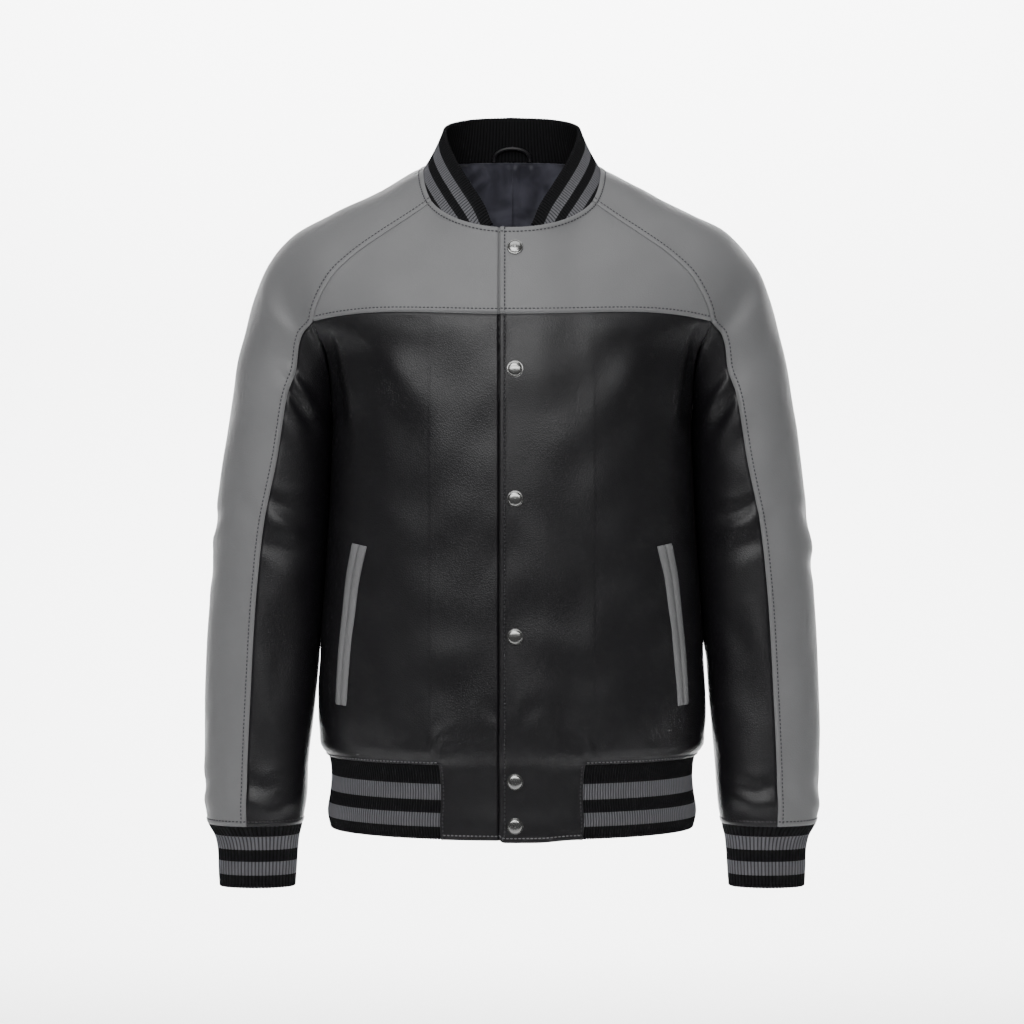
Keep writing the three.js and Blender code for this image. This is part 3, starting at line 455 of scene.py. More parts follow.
def round_corner(grid):
    """The left front hangs a little lower than the right one, with a rounded bottom corner."""
    low = smooth_step(-640, HEM_Z, grid[..., 2])
    inside = np.clip(CORNER_RADIUS - (grid[..., 0] + OVERLAP), 0, CORNER_RADIUS)
    curve = CORNER_RADIUS - np.sqrt(CORNER_RADIUS ** 2 - inside ** 2)
    tab = smooth_step(60, 25, grid[..., 0])
    grid[..., 2] += low * (0.7 * curve * smooth_step(HEM_Z + 14, HEM_Z, grid[..., 2]) - TAB_DROP * tab)


def front_shares(side):
    """Shares from the front edge to the side seam, and the column of the hem tab's edge."""
    edge = OVERLAP if side == LEFT else UNDERLAP
    beyond = -(edge - EDGE_MARKS[EDGE_MARKS < edge])
    tab = torso_shares(0, TAB_EDGE, FRONT)
    rest = torso_shares(TAB_EDGE, 1, FRONT)
    tab = tab[tab > 0.008]
    if side == RIGHT:
        fine = np.linspace(0, TAB_EDGE, SAMPLES)
        across = along(torso_curves([-0.1], FRONT), fine)[0][:, 0]
        near_lap = np.interp(np.arange(10.0, 38.0, 1.0), across, fine)
        tab = np.union1d(tab, near_lap)
    shares = np.concatenate([beyond, [0], tab, rest[1:]])
    return shares, len(beyond) + len(tab)


def whole_back(levels):
    """The back from the right seam to the left one."""
    shares = torso_shares(0, 1, BACK)
    shares = np.concatenate([[0], shares[shares > 0.03]])
    left = along(torso_curves(levels, BACK), shares[None, :])
    right = left[:, :0:-1] * [-1, 1, 1]
    return np.concatenate([right, left], axis=1)


def spread(count_from, low, high):
    """Column shares between two arrays of shares, one row for each level."""
    return low[:, None] + (high - low)[:, None] * count_from[None, :]


def sleeve_grid(levels, front, part, side):
    split = np.where(levels >= YOKE_LEVEL, 0, sleeve_split(np.minimum(levels, YOKE_LEVEL))["share"])
    width = 85.0
    columns = marks(width) / width
    none = np.zeros(len(levels))
    shares = spread(columns, none, split) if part == "under" else spread(columns, split, none + 1)
    grid = along(sleeve_curves(levels, front), shares)
    grid[..., 0] *= side
    return grid


# Distances and directions on a grid

def from_edge(grid, edge):
    """The grid turned so that its first axis leads away from an edge."""
    if edge in ("start", "end"):
        grid = np.swapaxes(grid, 0, 1)
    return grid[::-1] if edge in ("bottom", "end") else grid


def to_edge(grid, edge):
    if edge in ("bottom", "end"):
        grid = grid[::-1]
    return np.swapaxes(grid, 0, 1) if edge in ("start", "end") else grid


def distances(grid, edge):
    away = from_edge(grid, edge)
    steps = np.linalg.norm(np.diff(away, axis=0), axis=-1)
    lengths = np.concatenate([np.zeros((1,) + steps.shape[1:]), np.cumsum(steps, axis=0)])
    return to_edge(lengths, edge)


def outward(grid, turn):
    """Unit directions square to a grid. turn is 1 or -1 and tells which way is out."""
    normals = np.cross(np.gradient(grid, axis=0), np.gradient(grid, axis=1)) * turn
    flat = np.linalg.norm(normals, axis=-1) < 1e-6
    normals = unit(normals)
    for i in range(len(grid) - 2, -1, -1):
        normals[i][flat[i]] = normals[i + 1][flat[i]]
    for i in range(1, len(grid)):
        still = np.linalg.norm(normals[i], axis=-1) < 0.5
        normals[i][still] = normals[i - 1][still]
    return normals


# Relief of the leather

SEAM_DIP = 1.0
SEAM_DIP_WIDTH = 1.5
WELT_OF_SEAM = 0.55
STITCH_DIP = 0.45
STITCH_DIP_WIDTH = 0.9
SEAM_STITCH = 5.5
EDGE_STITCH = 5.0
HEM_STITCH = 3.0


def plain_seam(distance):
    return -SEAM_DIP * hump(distance, SEAM_DIP_WIDTH)


def stitched_seam(distance, offset):
    raised = WELT_OF_SEAM * (1 - smooth_step(offset - 0.6, offset + 2.2, distance))
    groove = -STITCH_DIP * hump(distance - offset, STITCH_DIP_WIDTH)
    return plain_seam(distance) + raised + groove


TURNED_EDGE = 0.9
TURNED_EDGE_ROUND = 0.6
TURNED_EDGE_ROUND_WIDTH = 0.5


def turned_edge(distance, offset):
    """A raised edge, turned in and stitched down, that ends in a step."""
    raised = TURNED_EDGE * (1 - smooth_step(offset - 0.8, offset + 2.0, distance))
    rounded = -TURNED_EDGE_ROUND * hump(distance, TURNED_EDGE_ROUND_WIDTH)
    groove = -STITCH_DIP * hump(distance - offset, STITCH_DIP_WIDTH)
    return raised + rounded + groove


FACES = {"front": ((0, -1, 0), (0, 2)), "back": ((0, 1, 0), (0, 2)), "outer": ((1, 0, 0), (1, 2))}


CREASE_SCALE = {"front": 1.2, "back": 1.6, "outer": 1.25}
# A crease fades out where the cloth turns away from its face, between these two shares of facing it.
CREASE_SHOWN = 0.1, 0.55
CREASE_WANDER = 5
CREASE_SHOULDER = 0.35


def crease_lift(grid, normals, side, part):
    """How far the listed creases of a part raise or lower each point."""
    lift = np.zeros(grid.shape[:2])
    mirrored = [side, 1, 1]
    places = grid * mirrored
    ways = normals * mirrored
    listed = [(face, on, *crease) for (face, on), rows in CREASES.items() for crease in rows]
    for number, (face, on, depth, width, path) in enumerate(listed):
        if on != part:
            continue
        facing, axes = FACES[face]
        shown = smooth_step(*CREASE_SHOWN, ways @ np.array(facing, float))
        wander = CREASE_WANDER * math.sin(2.3 * number + 1.1 * side)
        path = np.array(path, float) + [wander if side == RIGHT else 0, 0.8 * wander]
        flat = places[..., axes]
        nearest = np.full(grid.shape[:2], 1e9)
        reach = np.zeros(grid.shape[:2])
        total = len(path) - 1
        for i in range(total):
            start, step = path[i], path[i + 1] - path[i]
            s = np.clip((flat - start) @ step / (step @ step), 0, 1)
            distance = np.linalg.norm(flat - start - s[..., None] * step, axis=-1)
            closer = distance < nearest
            nearest = np.where(closer, distance, nearest)
            reach = np.where(closer, (i + s) / total, reach)
        width = width * (0.75 + 0.5 * reach)
        fade = np.sin(np.pi * np.clip(0.06 + 0.88 * reach, 0, 1)) ** 0.7
        profile = hump(nearest, width) - CREASE_SHOULDER * hump(nearest - 1.9 * width, width)
        lift += CREASE_SCALE[face] * depth * profile * fade * shown
    return lift


# Under the arm the sleeve lies against the body down to PRESSED_TO_Z.
PRESSED_TO_Z = -508
PRESSED_FADE = 24


def press(lift, grid, normals, side, part):
    """Brings the sleeve and the body together where they lie side by side."""
    facing = normals[..., 0] * side * (1 if part == "body" else -1)
    z = grid[..., 2]
    weight = smooth_step(0.55, 0.92, facing) * smooth_step(PRESSED_TO_Z, PRESSED_TO_Z + PRESSED_FADE, z)
    weight *= smooth_step(UNDERARM_Z + 4, UNDERARM_Z - 14, z)
    sleeve = np.interp(-z, -SLEEVE_ROWS["inner_z"], SLEEVE_ROWS["inner_x"])
    body = torso_row(np.minimum(z, UNDERARM_Z))["half_width"]
    return lift * (1 - weight) + weight * (sleeve - body) * 0.46


# Soft unevenness: a few long waves with set directions. A row is x, y, z waves a metre, size in mm.
WAVES = [
    (9, 4, 6, 0.45, 0.3), (-7, 6, 10, 0.4, 1.9), (13, -9, 5, 0.28, 4.1), (4, 12, -15, 0.26, 2.6),
    (-16, 5, 14, 0.16, 5.2), (18, 14, -7, 0.14, 0.9), (6, -21, 19, 0.12, 3.3),
]


def unevenness(grid):
    lift = np.zeros(grid.shape[:2])
    for x, y, z, size, phase in WAVES:
        turns = (grid * MM) @ np.array([x, y, z], float) * 2 * math.pi
        lift += size * np.sin(turns + phase)
    return lift


# Meshes

def boundary(quads, count):
    """The directed edges that only one quad uses."""
    edges = np.concatenate([quads[:, [k, (k + 1) % 4]] for k in range(4)])
    keys = edges[:, 0] * count + edges[:, 1]
    backwards = edges[:, 1] * count + edges[:, 0]
    return edges[~np.isin(keys, backwards)]


def make_object(name, places, faces, materials, slots=None, smooth_under=50, uv=None):
    mesh = bpy.data.meshes.new(name)
    mesh.from_pydata((places * MM).tolist(), [], faces)
    for item in materials:
        mesh.materials.append(item)
    if slots is not None:
        mesh.polygons.foreach_set("material_index", np.asarray(slots, np.int32))
    if uv is not None:
        layer = mesh.uv_layers.new(name="rib")
        corner = np.empty(len(mesh.loops), np.int32)
        mesh.loops.foreach_get("vertex_index", corner)
        layer.data.foreach_set("uv", uv[corner].ravel())
    mesh.validate()
    mesh.shade_smooth()
    mesh.set_sharp_from_angle(angle=math.radians(smooth_under))
    made = bpy.data.objects.new(name, mesh)
    bpy.context.scene.collection.objects.link(made)
    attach(made, "root")
    return made


def tube_faces(rings, sides, base=0):
    """The faces of a closed tube through rings of points, and its two end caps."""
    faces = []
    for r in range(rings - 1):
        low, high = base + r * sides, base + (r + 1) * sides
        for k in range(sides):
            after = (k + 1) % sides
            faces.append([low + k, low + after, high + after, high + k])
    top = base + (rings - 1) * sides
    faces.append([base + k for k in range(sides)][::-1])
    faces.append([top + k for k in range(sides)])
    return faces


def three_cornered(quads):
    """Faces as lists, with a repeated corner of a closed-up quad left out."""
    return [list(dict.fromkeys(quad)) for quad in quads.tolist()]


def cloth(name, parts, materials, solid, slot_name, size):
    """A closed cloth wall. parts are (outer points, inner points, turned, mask) grids of one piece."""
    outer = np.concatenate([part[0].reshape(-1, 3) for part in parts])
    inner = np.concatenate([part[1].reshape(-1, 3) for part in parts])
    quads, base = [], 0
    for grid, _, turned, mask in parts:
        rows, columns = grid.shape[:2]
        index = base + np.arange(rows * columns).reshape(rows, columns)
        cells = np.stack([index[:-1, :-1], index[1:, :-1], index[1:, 1:], index[:-1, 1:]], -1)
        cells = cells[mask] if mask is not None else cells.reshape(-1, 4)
        quads.append(cells[:, ::-1] if turned else cells)
        base += rows * columns
    quads = np.concatenate(quads)
    _, same = np.unique(np.round(outer, 3), axis=0, return_inverse=True)
    same = same.reshape(-1)
    first = np.full(same.max() + 1, len(outer))
    np.minimum.at(first, same, np.arange(len(outer)))
    quads = first[same][quads]
    used, packed = np.unique(quads, return_inverse=True)
    quads = packed.reshape(-1, 4)
    outer, inner, count = outer[used], inner[used], len(used)
    edges = boundary(quads, count)
    edges = edges[edges[:, 0] != edges[:, 1]]
    rims = np.stack([edges[:, 1], edges[:, 0], edges[:, 0] + count, edges[:, 1] + count], -1)
    faces = three_cornered(quads) + three_cornered(quads[:, ::-1] + count) + three_cornered(rims)
    slots = [0] * len(quads) + [len(materials) - 1] * len(quads) + [0] * len(rims)
    kept = [i for i, face in enumerate(faces) if len(face) > 2]
    made = make_object(
        name, np.concatenate([outer, inner]), [faces[i] for i in kept], materials, [slots[i] for i in kept],
    )
    a, b, c, d = (outer[quads[:, k]] for k in range(4))
    area = np.linalg.norm(np.cross(c - a, d - b), axis=1).sum() / 2 * MM * MM
    finish_cloth(solid, slot_name, size, area)


def finish_cloth(solid, slot_name, size, area):
    """Hides the solid that a cloth piece stands for, and works out the size that it was cut to."""
    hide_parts(solid)
    width, length = (value * MM for value in size)
    area = min(max(area, 0.31 * width * length), width * length)


def cut_size(grids):
    """The widest row and the longest column of a piece, in millimetres."""
    width = max(distances(grid, "start")[:, -1].max() for grid in grids)
    length = max(distances(grid, "top")[-1].max() for grid in grids)
    return width, length


# Materials

def material(name, colour, roughness, metallic=0.0):
    made = bpy.data.materials.new(name)
    made.use_nodes = True
    shader = made.node_tree.nodes["Principled BSDF"]
    shader.inputs["Base Color"].default_value = (*colour, 1)
    shader.inputs["Roughness"].default_value = roughness
    shader.inputs["Metallic"].default_value = metallic
    shader.inputs["Specular IOR Level"].default_value = 0.4
    return made, shader


def node(tree, kind, **values):
    made = tree.nodes.new(kind)
    for name, value in values.items():
        if name in made.inputs.keys():
            made.inputs[name].default_value = value
        else:
            setattr(made, name, value)
    return made


# Grain of the leather. The scales are cells a metre, and the depth is in metres.
PEBBLE_SCALE = 430.0
PEBBLE_EDGE = 0.22
DUST_SCALE = 1500.0
DUST_SHARE = 0.35
GRAIN_DEPTH = 0.0002
CLOUD_SCALE = 14.0
# How far the gloss and the colour drift from place to place
GLOSS_DRIFT = -0.06, 0.08
COLOUR_DRIFT = 0.9, 1.08


def leather(name, colour, roughness, grain):
    """Pebbled leather: small cells and finer dust in the bump, with uneven gloss and colour."""
    made, shader = material(name, colour, roughness)
    tree = made.node_tree
    link = tree.links.new
    place = node(tree, "ShaderNodeTexCoord").outputs["Object"]
    cells = node(tree, "ShaderNodeTexVoronoi", Scale=PEBBLE_SCALE, feature="DISTANCE_TO_EDGE")
    fine = node(tree, "ShaderNodeTexNoise", Scale=DUST_SCALE, Detail=3.0)
    cloud = node(tree, "ShaderNodeTexNoise", Scale=CLOUD_SCALE, Detail=4.0)
    for texture in (cells, fine, cloud):
        link(place, texture.inputs["Vector"])
    pebble = node(tree, "ShaderNodeMapRange")
    pebble.inputs["From Max"].default_value = PEBBLE_EDGE
    link(cells.outputs["Distance"], pebble.inputs["Value"])
    height = node(tree, "ShaderNodeMath", operation="MULTIPLY_ADD")
    height.inputs[1].default_value = DUST_SHARE
    link(fine.outputs["Fac"], height.inputs[0])
    link(pebble.outputs["Result"], height.inputs[2])
    bump = node(tree, "ShaderNodeBump", Strength=grain, Distance=GRAIN_DEPTH)
    link(height.outputs["Value"], bump.inputs["Height"])
    link(bump.outputs["Normal"], shader.inputs["Normal"])
    gloss = node(tree, "ShaderNodeMapRange")
    gloss.inputs["To Min"].default_value = roughness + GLOSS_DRIFT[0]
    gloss.inputs["To Max"].default_value = roughness + GLOSS_DRIFT[1]
    link(cloud.outputs["Fac"], gloss.inputs["Value"])
    link(gloss.outputs["Result"], shader.inputs["Roughness"])
    shade = node(tree, "ShaderNodeMix", data_type="RGBA")
    low, high = (tuple(c * k for c in colour) + (1,) for k in COLOUR_DRIFT)
    shade.inputs[6].default_value = low
    shade.inputs[7].default_value = high
    link(cloud.outputs["Fac"], shade.inputs["Factor"])
    link(shade.outputs[2], shader.inputs["Base Color"])
    return made


# The knit's colours by stripe, the painted shade that darkens its grooves, and its yarn
STRIPE_SPAN = 80.0
KNIT_BASE = 0.012, 0.012, 0.013
KNIT_BLACK = 0.0075, 0.0075, 0.0085, 1
KNIT_GREY = 0.122, 0.122, 0.132, 1
KNIT_SPECULAR = 0.15
PAINTED_SHADE_IN_GROOVES = 0.16
PAINTED_SHADE_ENDS_AT = 0.8
YARN_SCALE = 900.0
YARN_DEPTH = 0.0004


def knit(name, stripes):
    """Rib knit: black with grey stripes that follow the distance from the folded edge, and painted shade in
    the grooves between its ribs.
    """
    made, shader = material(name, KNIT_BASE, 0.95)
    shader.inputs["Specular IOR Level"].default_value = KNIT_SPECULAR
    tree = made.node_tree
    link = tree.links.new
    layer = node(tree, "ShaderNodeUVMap", uv_map="rib")
    parts = node(tree, "ShaderNodeSeparateXYZ")
    link(layer.outputs["UV"], parts.inputs["Vector"])
    ramp = node(tree, "ShaderNodeValToRGB")
    ramp.color_ramp.interpolation = "CONSTANT"
    (first, first_end), (second, second_end) = stripes
    ramp.color_ramp.elements[0].color = KNIT_BLACK
    ramp.color_ramp.elements[1].position = first / STRIPE_SPAN
    ramp.color_ramp.elements[1].color = KNIT_GREY
    for position, colour in ((first_end, KNIT_BLACK), (second, KNIT_GREY), (second_end, KNIT_BLACK)):
        ramp.color_ramp.elements.new(position / STRIPE_SPAN).color = colour
    link(parts.outputs["Y"], ramp.inputs["Fac"])
    # Painted shade: the colour is darkened in the grooves between the ribs, by the rib height that the UV's x
    # carries.
    groove = node(tree, "ShaderNodeMapRange")
    groove.inputs["From Max"].default_value = PAINTED_SHADE_ENDS_AT
    groove.inputs["To Min"].default_value = PAINTED_SHADE_IN_GROOVES
    link(parts.outputs["X"], groove.inputs["Value"])
    shade = node(tree, "ShaderNodeVectorMath", operation="SCALE")
    link(ramp.outputs["Color"], shade.inputs["Vector"])
    link(groove.outputs["Result"], shade.inputs["Scale"])
    link(shade.outputs["Vector"], shader.inputs["Base Color"])
    place = node(tree, "ShaderNodeTexCoord").outputs["Object"]
    yarn = node(tree, "ShaderNodeTexNoise", Scale=YARN_SCALE, Detail=2.0)
    link(place, yarn.inputs["Vector"])
    bump = node(tree, "ShaderNodeBump", Strength=0.5, Distance=YARN_DEPTH)
    link(yarn.outputs["Fac"], bump.inputs["Height"])
    link(bump.outputs["Normal"], shader.inputs["Normal"])
    return made


# The satin's painted shade and painted sheen: its darkest and lightest colour, and where on its soft clouds
# each is reached
SATIN_PAINTED_SHADE = 0.026, 0.026, 0.036, 1
SATIN_PAINTED_SHEEN = 0.082, 0.082, 0.106, 1
SATIN_SHEEN_CLOUD = 0.38, 0.68
SATIN_SHEEN_CLOUD_SCALE = 30.0


def satin(name):
    """Satin with soft lighter and darker patches painted into its colour: painted sheen and painted shade."""
    made, shader = material(name, (0.045, 0.045, 0.06), 0.3)
    tree = made.node_tree
    cloud = node(tree, "ShaderNodeTexNoise", Scale=SATIN_SHEEN_CLOUD_SCALE, Detail=2.0, Distortion=0.8)
    tree.links.new(node(tree, "ShaderNodeTexCoord").outputs["Object"], cloud.inputs["Vector"])
    # Painted sheen and shade: the clouds mix the base colour between the painted shade and the painted sheen.
    sheen = node(tree, "ShaderNodeValToRGB")
    for element, position, colour in zip(sheen.color_ramp.elements, SATIN_SHEEN_CLOUD, (SATIN_PAINTED_SHADE, SATIN_PAINTED_SHEEN)):
        element.position = position
        element.color = colour
    tree.links.new(cloud.outputs["Fac"], sheen.inputs["Fac"])
    tree.links.new(sheen.outputs["Color"], shader.inputs["Base Color"])
    shader.inputs["Sheen Weight"].default_value = 0.25
    shader.inputs["Specular IOR Level"].default_value = 0.6
    return made


GREY = leather("grey_leather", (0.16, 0.161, 0.164), 0.5, 0.35)
BLACK = leather("black_leather", (0.0066, 0.0062, 0.0076), 0.38, 0.45)
LINING = satin("satin_lining")
HEM_KNIT = knit("hem_knit", HEM_STRIPES)
CUFF_KNIT = knit("cuff_knit", CUFF_STRIPES)
COLLAR_KNIT = knit("collar_knit", COLLAR_STRIPES)
METAL = material("snap_metal", (0.27, 0.27, 0.265), 0.24, 1.0)[0]
# The grey thread is darker than the leather: its own grey with painted shade of the stitch holes on top.
GREY_PAINTED_SHADE_THREAD = material("grey_painted_shade_thread", (0.045, 0.045, 0.05), 0.8)[0]
BLACK_THREAD = material("black_thread", (0.03, 0.03, 0.033), 0.6)[0]
HEM_THREAD = material("hem_thread", (0.13, 0.13, 0.135), 0.6)[0]


# Stitches

STITCH_PITCH = 4.0
STITCH_LENGTH = 2.7
STITCH_RADIUS = 0.62
STITCH_SIDES = 6
STITCH_SLOTS = {"grey": "grey_leather", "black": "black_leather", "hem": "black_leather"}
stitches = {colour: [] for colour in STITCH_SLOTS}


def stitch_line(grid, normals, edge, offset, colour, first=0, last=None):
    """Marks stitches at a distance from an edge of a grid. first and last trim the line's ends."""
    away = from_edge(grid, edge)[:, first:last]
    ways = from_edge(normals, edge)[:, first:last]
    reach = from_edge(distances(grid, edge), edge)[:, first:last]
    line, out = [], []
    for column in range(away.shape[1]):
        if reach[-1, column] < offset * 1.5:
            continue
        line.append([np.interp(offset, reach[:, column], away[:, column, k]) for k in range(3)])
        out.append([np.interp(offset, reach[:, column], ways[:, column, k]) for k in range(3)])
    if len(line) > 1:
        stitches[colour].append((np.array(line), unit(np.array(out))))


def make_stitches(colour, thread):
    """One mesh of small rounded stitches along every line of a colour."""
    rings = [(-0.5, 0.25), (-0.32, 1.0), (0.32, 1.0), (0.5, 0.25)]
    turns = np.arange(STITCH_SIDES) * 2 * math.pi / STITCH_SIDES
    places, faces, base = [], [], 0
    for line, out in stitches[colour]:
        lengths = far(line)
        middle = np.arange(STITCH_PITCH / 2, lengths[-1] - STITCH_PITCH / 3, STITCH_PITCH)
        centre = np.stack([np.interp(middle, lengths, line[:, k]) for k in range(3)], -1)
        normal = unit(np.stack([np.interp(middle, lengths, out[:, k]) for k in range(3)], -1))
        ahead = np.stack([np.interp(middle + 0.5, lengths, line[:, k]) for k in range(3)], -1)
        behind = np.stack([np.interp(middle - 0.5, lengths, line[:, k]) for k in range(3)], -1)
        way = unit(ahead - behind)
        across = unit(np.cross(normal, way))
        for c, n, w, a in zip(centre, normal, way, across):
            for share, radius in rings:
                ring = [
                    c + w * share * STITCH_LENGTH
                    + (a * math.cos(t) + n * (math.sin(t) + 0.2)) * radius * STITCH_RADIUS
                    for t in turns
                ]
                places.extend(ring)
            faces += tube_faces(len(rings), STITCH_SIDES, base)
            base += len(rings) * STITCH_SIDES
    made = make_object(f"stitches_{colour}", np.array(places), faces, [thread])
    return made


# Leather panels

def relief(grid, normals, side, part, seams, free=("top",)):
    """The outer face of a panel.

    seams are (edge, offset of its stitches or None), and the free edges are turned in.
    """
    lift = crease_lift(grid, normals, side, part)
    calm = np.ones(grid.shape[:2])
    seam_lift = np.zeros(grid.shape[:2])
    for edge, offset in seams:
        away = distances(grid, edge)
        calm *= smooth_step(0, 14, away)
        if offset is None:
            seam_lift += plain_seam(away)
        elif edge in free:
            seam_lift += turned_edge(away, offset)
        else:
            seam_lift += stitched_seam(away, offset)
    lift = lift * (0.35 + 0.65 * calm) + unevenness(grid) * calm + seam_lift
    return grid + normals * lift[..., None]


def inner_face(outer, normals):
    """The wrong side of the leather, one wall under its right side."""
    return outer - normals * LEATHER_WALL


SIDE_NAMES = {LEFT: "left", RIGHT: "right"}


def make_front_yoke(side):
    shares, _ = front_shares(side)
    grid = front_grid(torso_levels(1, YOKE_LEVEL, FRONT), shares, side)
    normals = outward(grid, side)
    seams = [("top", SEAM_STITCH), ("bottom", SEAM_STITCH), ("start", EDGE_STITCH), ("end", None)]
    outer = relief(grid, normals, side, "body", seams, ("top", "start"))
    outer += normals * lap_dent(grid, side)[..., None]
    inner = inner_face(outer, normals)
    stitch_line(outer, normals, "bottom", SEAM_STITCH, "grey")
    stitch_line(outer, normals, "top", SEAM_STITCH, "grey")
    if side == LEFT:
        stitch_line(outer, normals, "start", EDGE_STITCH, "grey")
    name = f"front_yoke_{SIDE_NAMES[side]}"
    turned = side == RIGHT
    parts = [(outer, inner, turned, None)]
    cloth(f"cloth_{name}", parts, [GREY, LINING], name, "grey_leather", cut_size([grid]))


# The edge of the left front presses a narrow dent into the right one.
LAP_DENT = 1.5
LAP_DENT_WIDTH = 1.1
LAP_DENT_FROM_EDGE = 0.9


def lap_dent(grid, side):
    if side == LEFT:
        return np.zeros(grid.shape[:2])
    return -LAP_DENT * hump(-grid[..., 0] - OVERLAP - LAP_DENT_FROM_EDGE, LAP_DENT_WIDTH)


# The cloth blouses a little above the hem seam: how far out, how far above it, and over what height.
BLOUSE = 1.6
BLOUSE_ABOVE = 12
BLOUSE_WIDTH = 9

# The facing behind each front ends this far from the centre and shows through as a soft step.
FACING_EDGE = 82
FACING_LIFT = 0.25


def make_front(side):
    shares, tab = front_shares(side)
    upper = torso_levels(YOKE_LEVEL, (HEM_SEAM_Z - UNDERARM_Z) / 1000, FRONT)
    lower = torso_levels(upper[-1], (HEM_Z - UNDERARM_Z) / 1000, FRONT)[1:]
    seam_row = len(upper) - 1
    grid = front_grid(np.concatenate([upper, lower]), shares, side)
    normals = outward(grid, side)
    rows, columns = grid.shape[:2]
    lift = crease_lift(grid, normals, side, "body")
    top, start = distances(grid, "top"), distances(grid, "start")
    end = distances(grid, "end")
    hem_seam = np.abs(top - top[seam_row])
    to_tab = np.abs(start - start[:, tab:tab + 1])
    beyond_tab = np.arange(columns)[None, :] >= tab
    below_seam = np.arange(rows)[:, None] >= seam_row
    corner = np.hypot(np.where(below_seam, 0, hem_seam), np.where(beyond_tab, 0, to_tab))
    bottom = np.where(beyond_tab, 1e3, distances(grid, "bottom"))
    lift += turned_edge(corner, HEM_STITCH) + turned_edge(start, EDGE_STITCH)
    lift += lap_dent(grid, side)
    lift += FACING_LIFT * smooth_step(FACING_EDGE + 2, FACING_EDGE - 2, np.abs(grid[..., 0]))
    lift += plain_seam(top) + plain_seam(end) + turned_edge(bottom, EDGE_STITCH)
    calm = smooth_step(0, 14, np.minimum.reduce([corner, start, top, end, bottom]))
    lift += unevenness(grid) * calm
    blouse = BLOUSE * hump(hem_seam - BLOUSE_ABOVE, BLOUSE_WIDTH) * ~below_seam
    lift += blouse * np.where(beyond_tab, 1, smooth_step(40, 0, to_tab))
    outer = grid + normals * press(lift, grid, normals, side, "body")[..., None]
    inner = inner_face(outer, normals)
    mask = ~(below_seam[:-1] & beyond_tab[:, :-1])
    side_part = slice(None, seam_row + 1), slice(tab, None)
    tab_part = slice(seam_row, None), slice(None, tab + 1)
    if side == LEFT:
        stitch_line(outer, normals, "start", EDGE_STITCH, "black")
    stitch_line(outer[side_part], normals[side_part], "bottom", HEM_STITCH, "hem")
    stitch_line(outer[tab_part], normals[tab_part], "end", HEM_STITCH, "black")
    stitch_line(outer[tab_part], normals[tab_part], "bottom", EDGE_STITCH, "hem")
    name = f"front_{SIDE_NAMES[side]}"
    parts = [(outer, inner, side == RIGHT, mask)]
    size = cut_size([grid[side_part], grid])
    cloth(f"cloth_{name}", parts, [BLACK, LINING], name, "black_leather", size)


def back_creases(grid, normals):
    """The creases of both halves of the back."""
    folds = [crease_lift(grid, normals, side, "body") for side in (LEFT, RIGHT)]
    return np.where(grid[..., 0] >= 0, *folds)


def make_back(name, high, low, grey):
    grid = whole_back(torso_levels(high, low, BACK))
    normals = outward(grid, -1)
    seams = [("start", None), ("end", None)]
    if grey:
        seams += [("top", SEAM_STITCH), ("bottom", SEAM_STITCH)]
    else:
        seams += [("top", None), ("bottom", HEM_STITCH)]
    left_half = grid[..., 0] >= 0
    creases = back_creases(grid, normals)
    lift = np.zeros(grid.shape[:2])
    calm = np.ones(grid.shape[:2])
    for edge, offset in seams:
        away = distances(grid, edge)
        calm *= smooth_step(0, 14, away)
        lift += plain_seam(away) if offset is None else stitched_seam(away, offset)
    lift += creases + unevenness(grid) * calm
    pressed = [press(lift, grid, normals, side, "body") for side in (LEFT, RIGHT)]
    outer = grid + normals * np.where(left_half, *pressed)[..., None]
    if grey:
        stitch_line(outer, normals, "bottom", SEAM_STITCH, "grey")
        stitch_line(outer, normals, "top", SEAM_STITCH, "grey")
    else:
        stitch_line(outer, normals, "bottom", HEM_STITCH, "hem")
    parts = [(outer, inner_face(outer, normals), True, None)]
    paint, slot_name = (GREY, "grey_leather") if grey else (BLACK, "black_leather")
    cloth(f"cloth_{name}", parts, [paint, LINING], name, slot_name, cut_size([grid]))


def make_top_sleeve(front, side):
    levels = sleeve_levels(1, -1)
    grid = sleeve_grid(levels, front, "top", side)
    normals = outward(grid, side * front)
    seams = [("top", SEAM_STITCH), ("bottom", SEAM_STITCH), ("start", SEAM_STITCH), ("end", None)]
    outer = relief(grid, normals, side, "sleeve", seams)
    for edge in ("start", "bottom", "top"):
        stitch_line(outer, normals, edge, SEAM_STITCH, "grey")
    name = f"sleeve_{'front' if front == FRONT else 'back'}_{SIDE_NAMES[side]}"
    turned = side * front < 0
    parts = [(outer, inner_face(outer, normals), turned, None)]
    cloth(f"cloth_{name}", parts, [GREY, LINING], name, "grey_leather", cut_size([grid]))


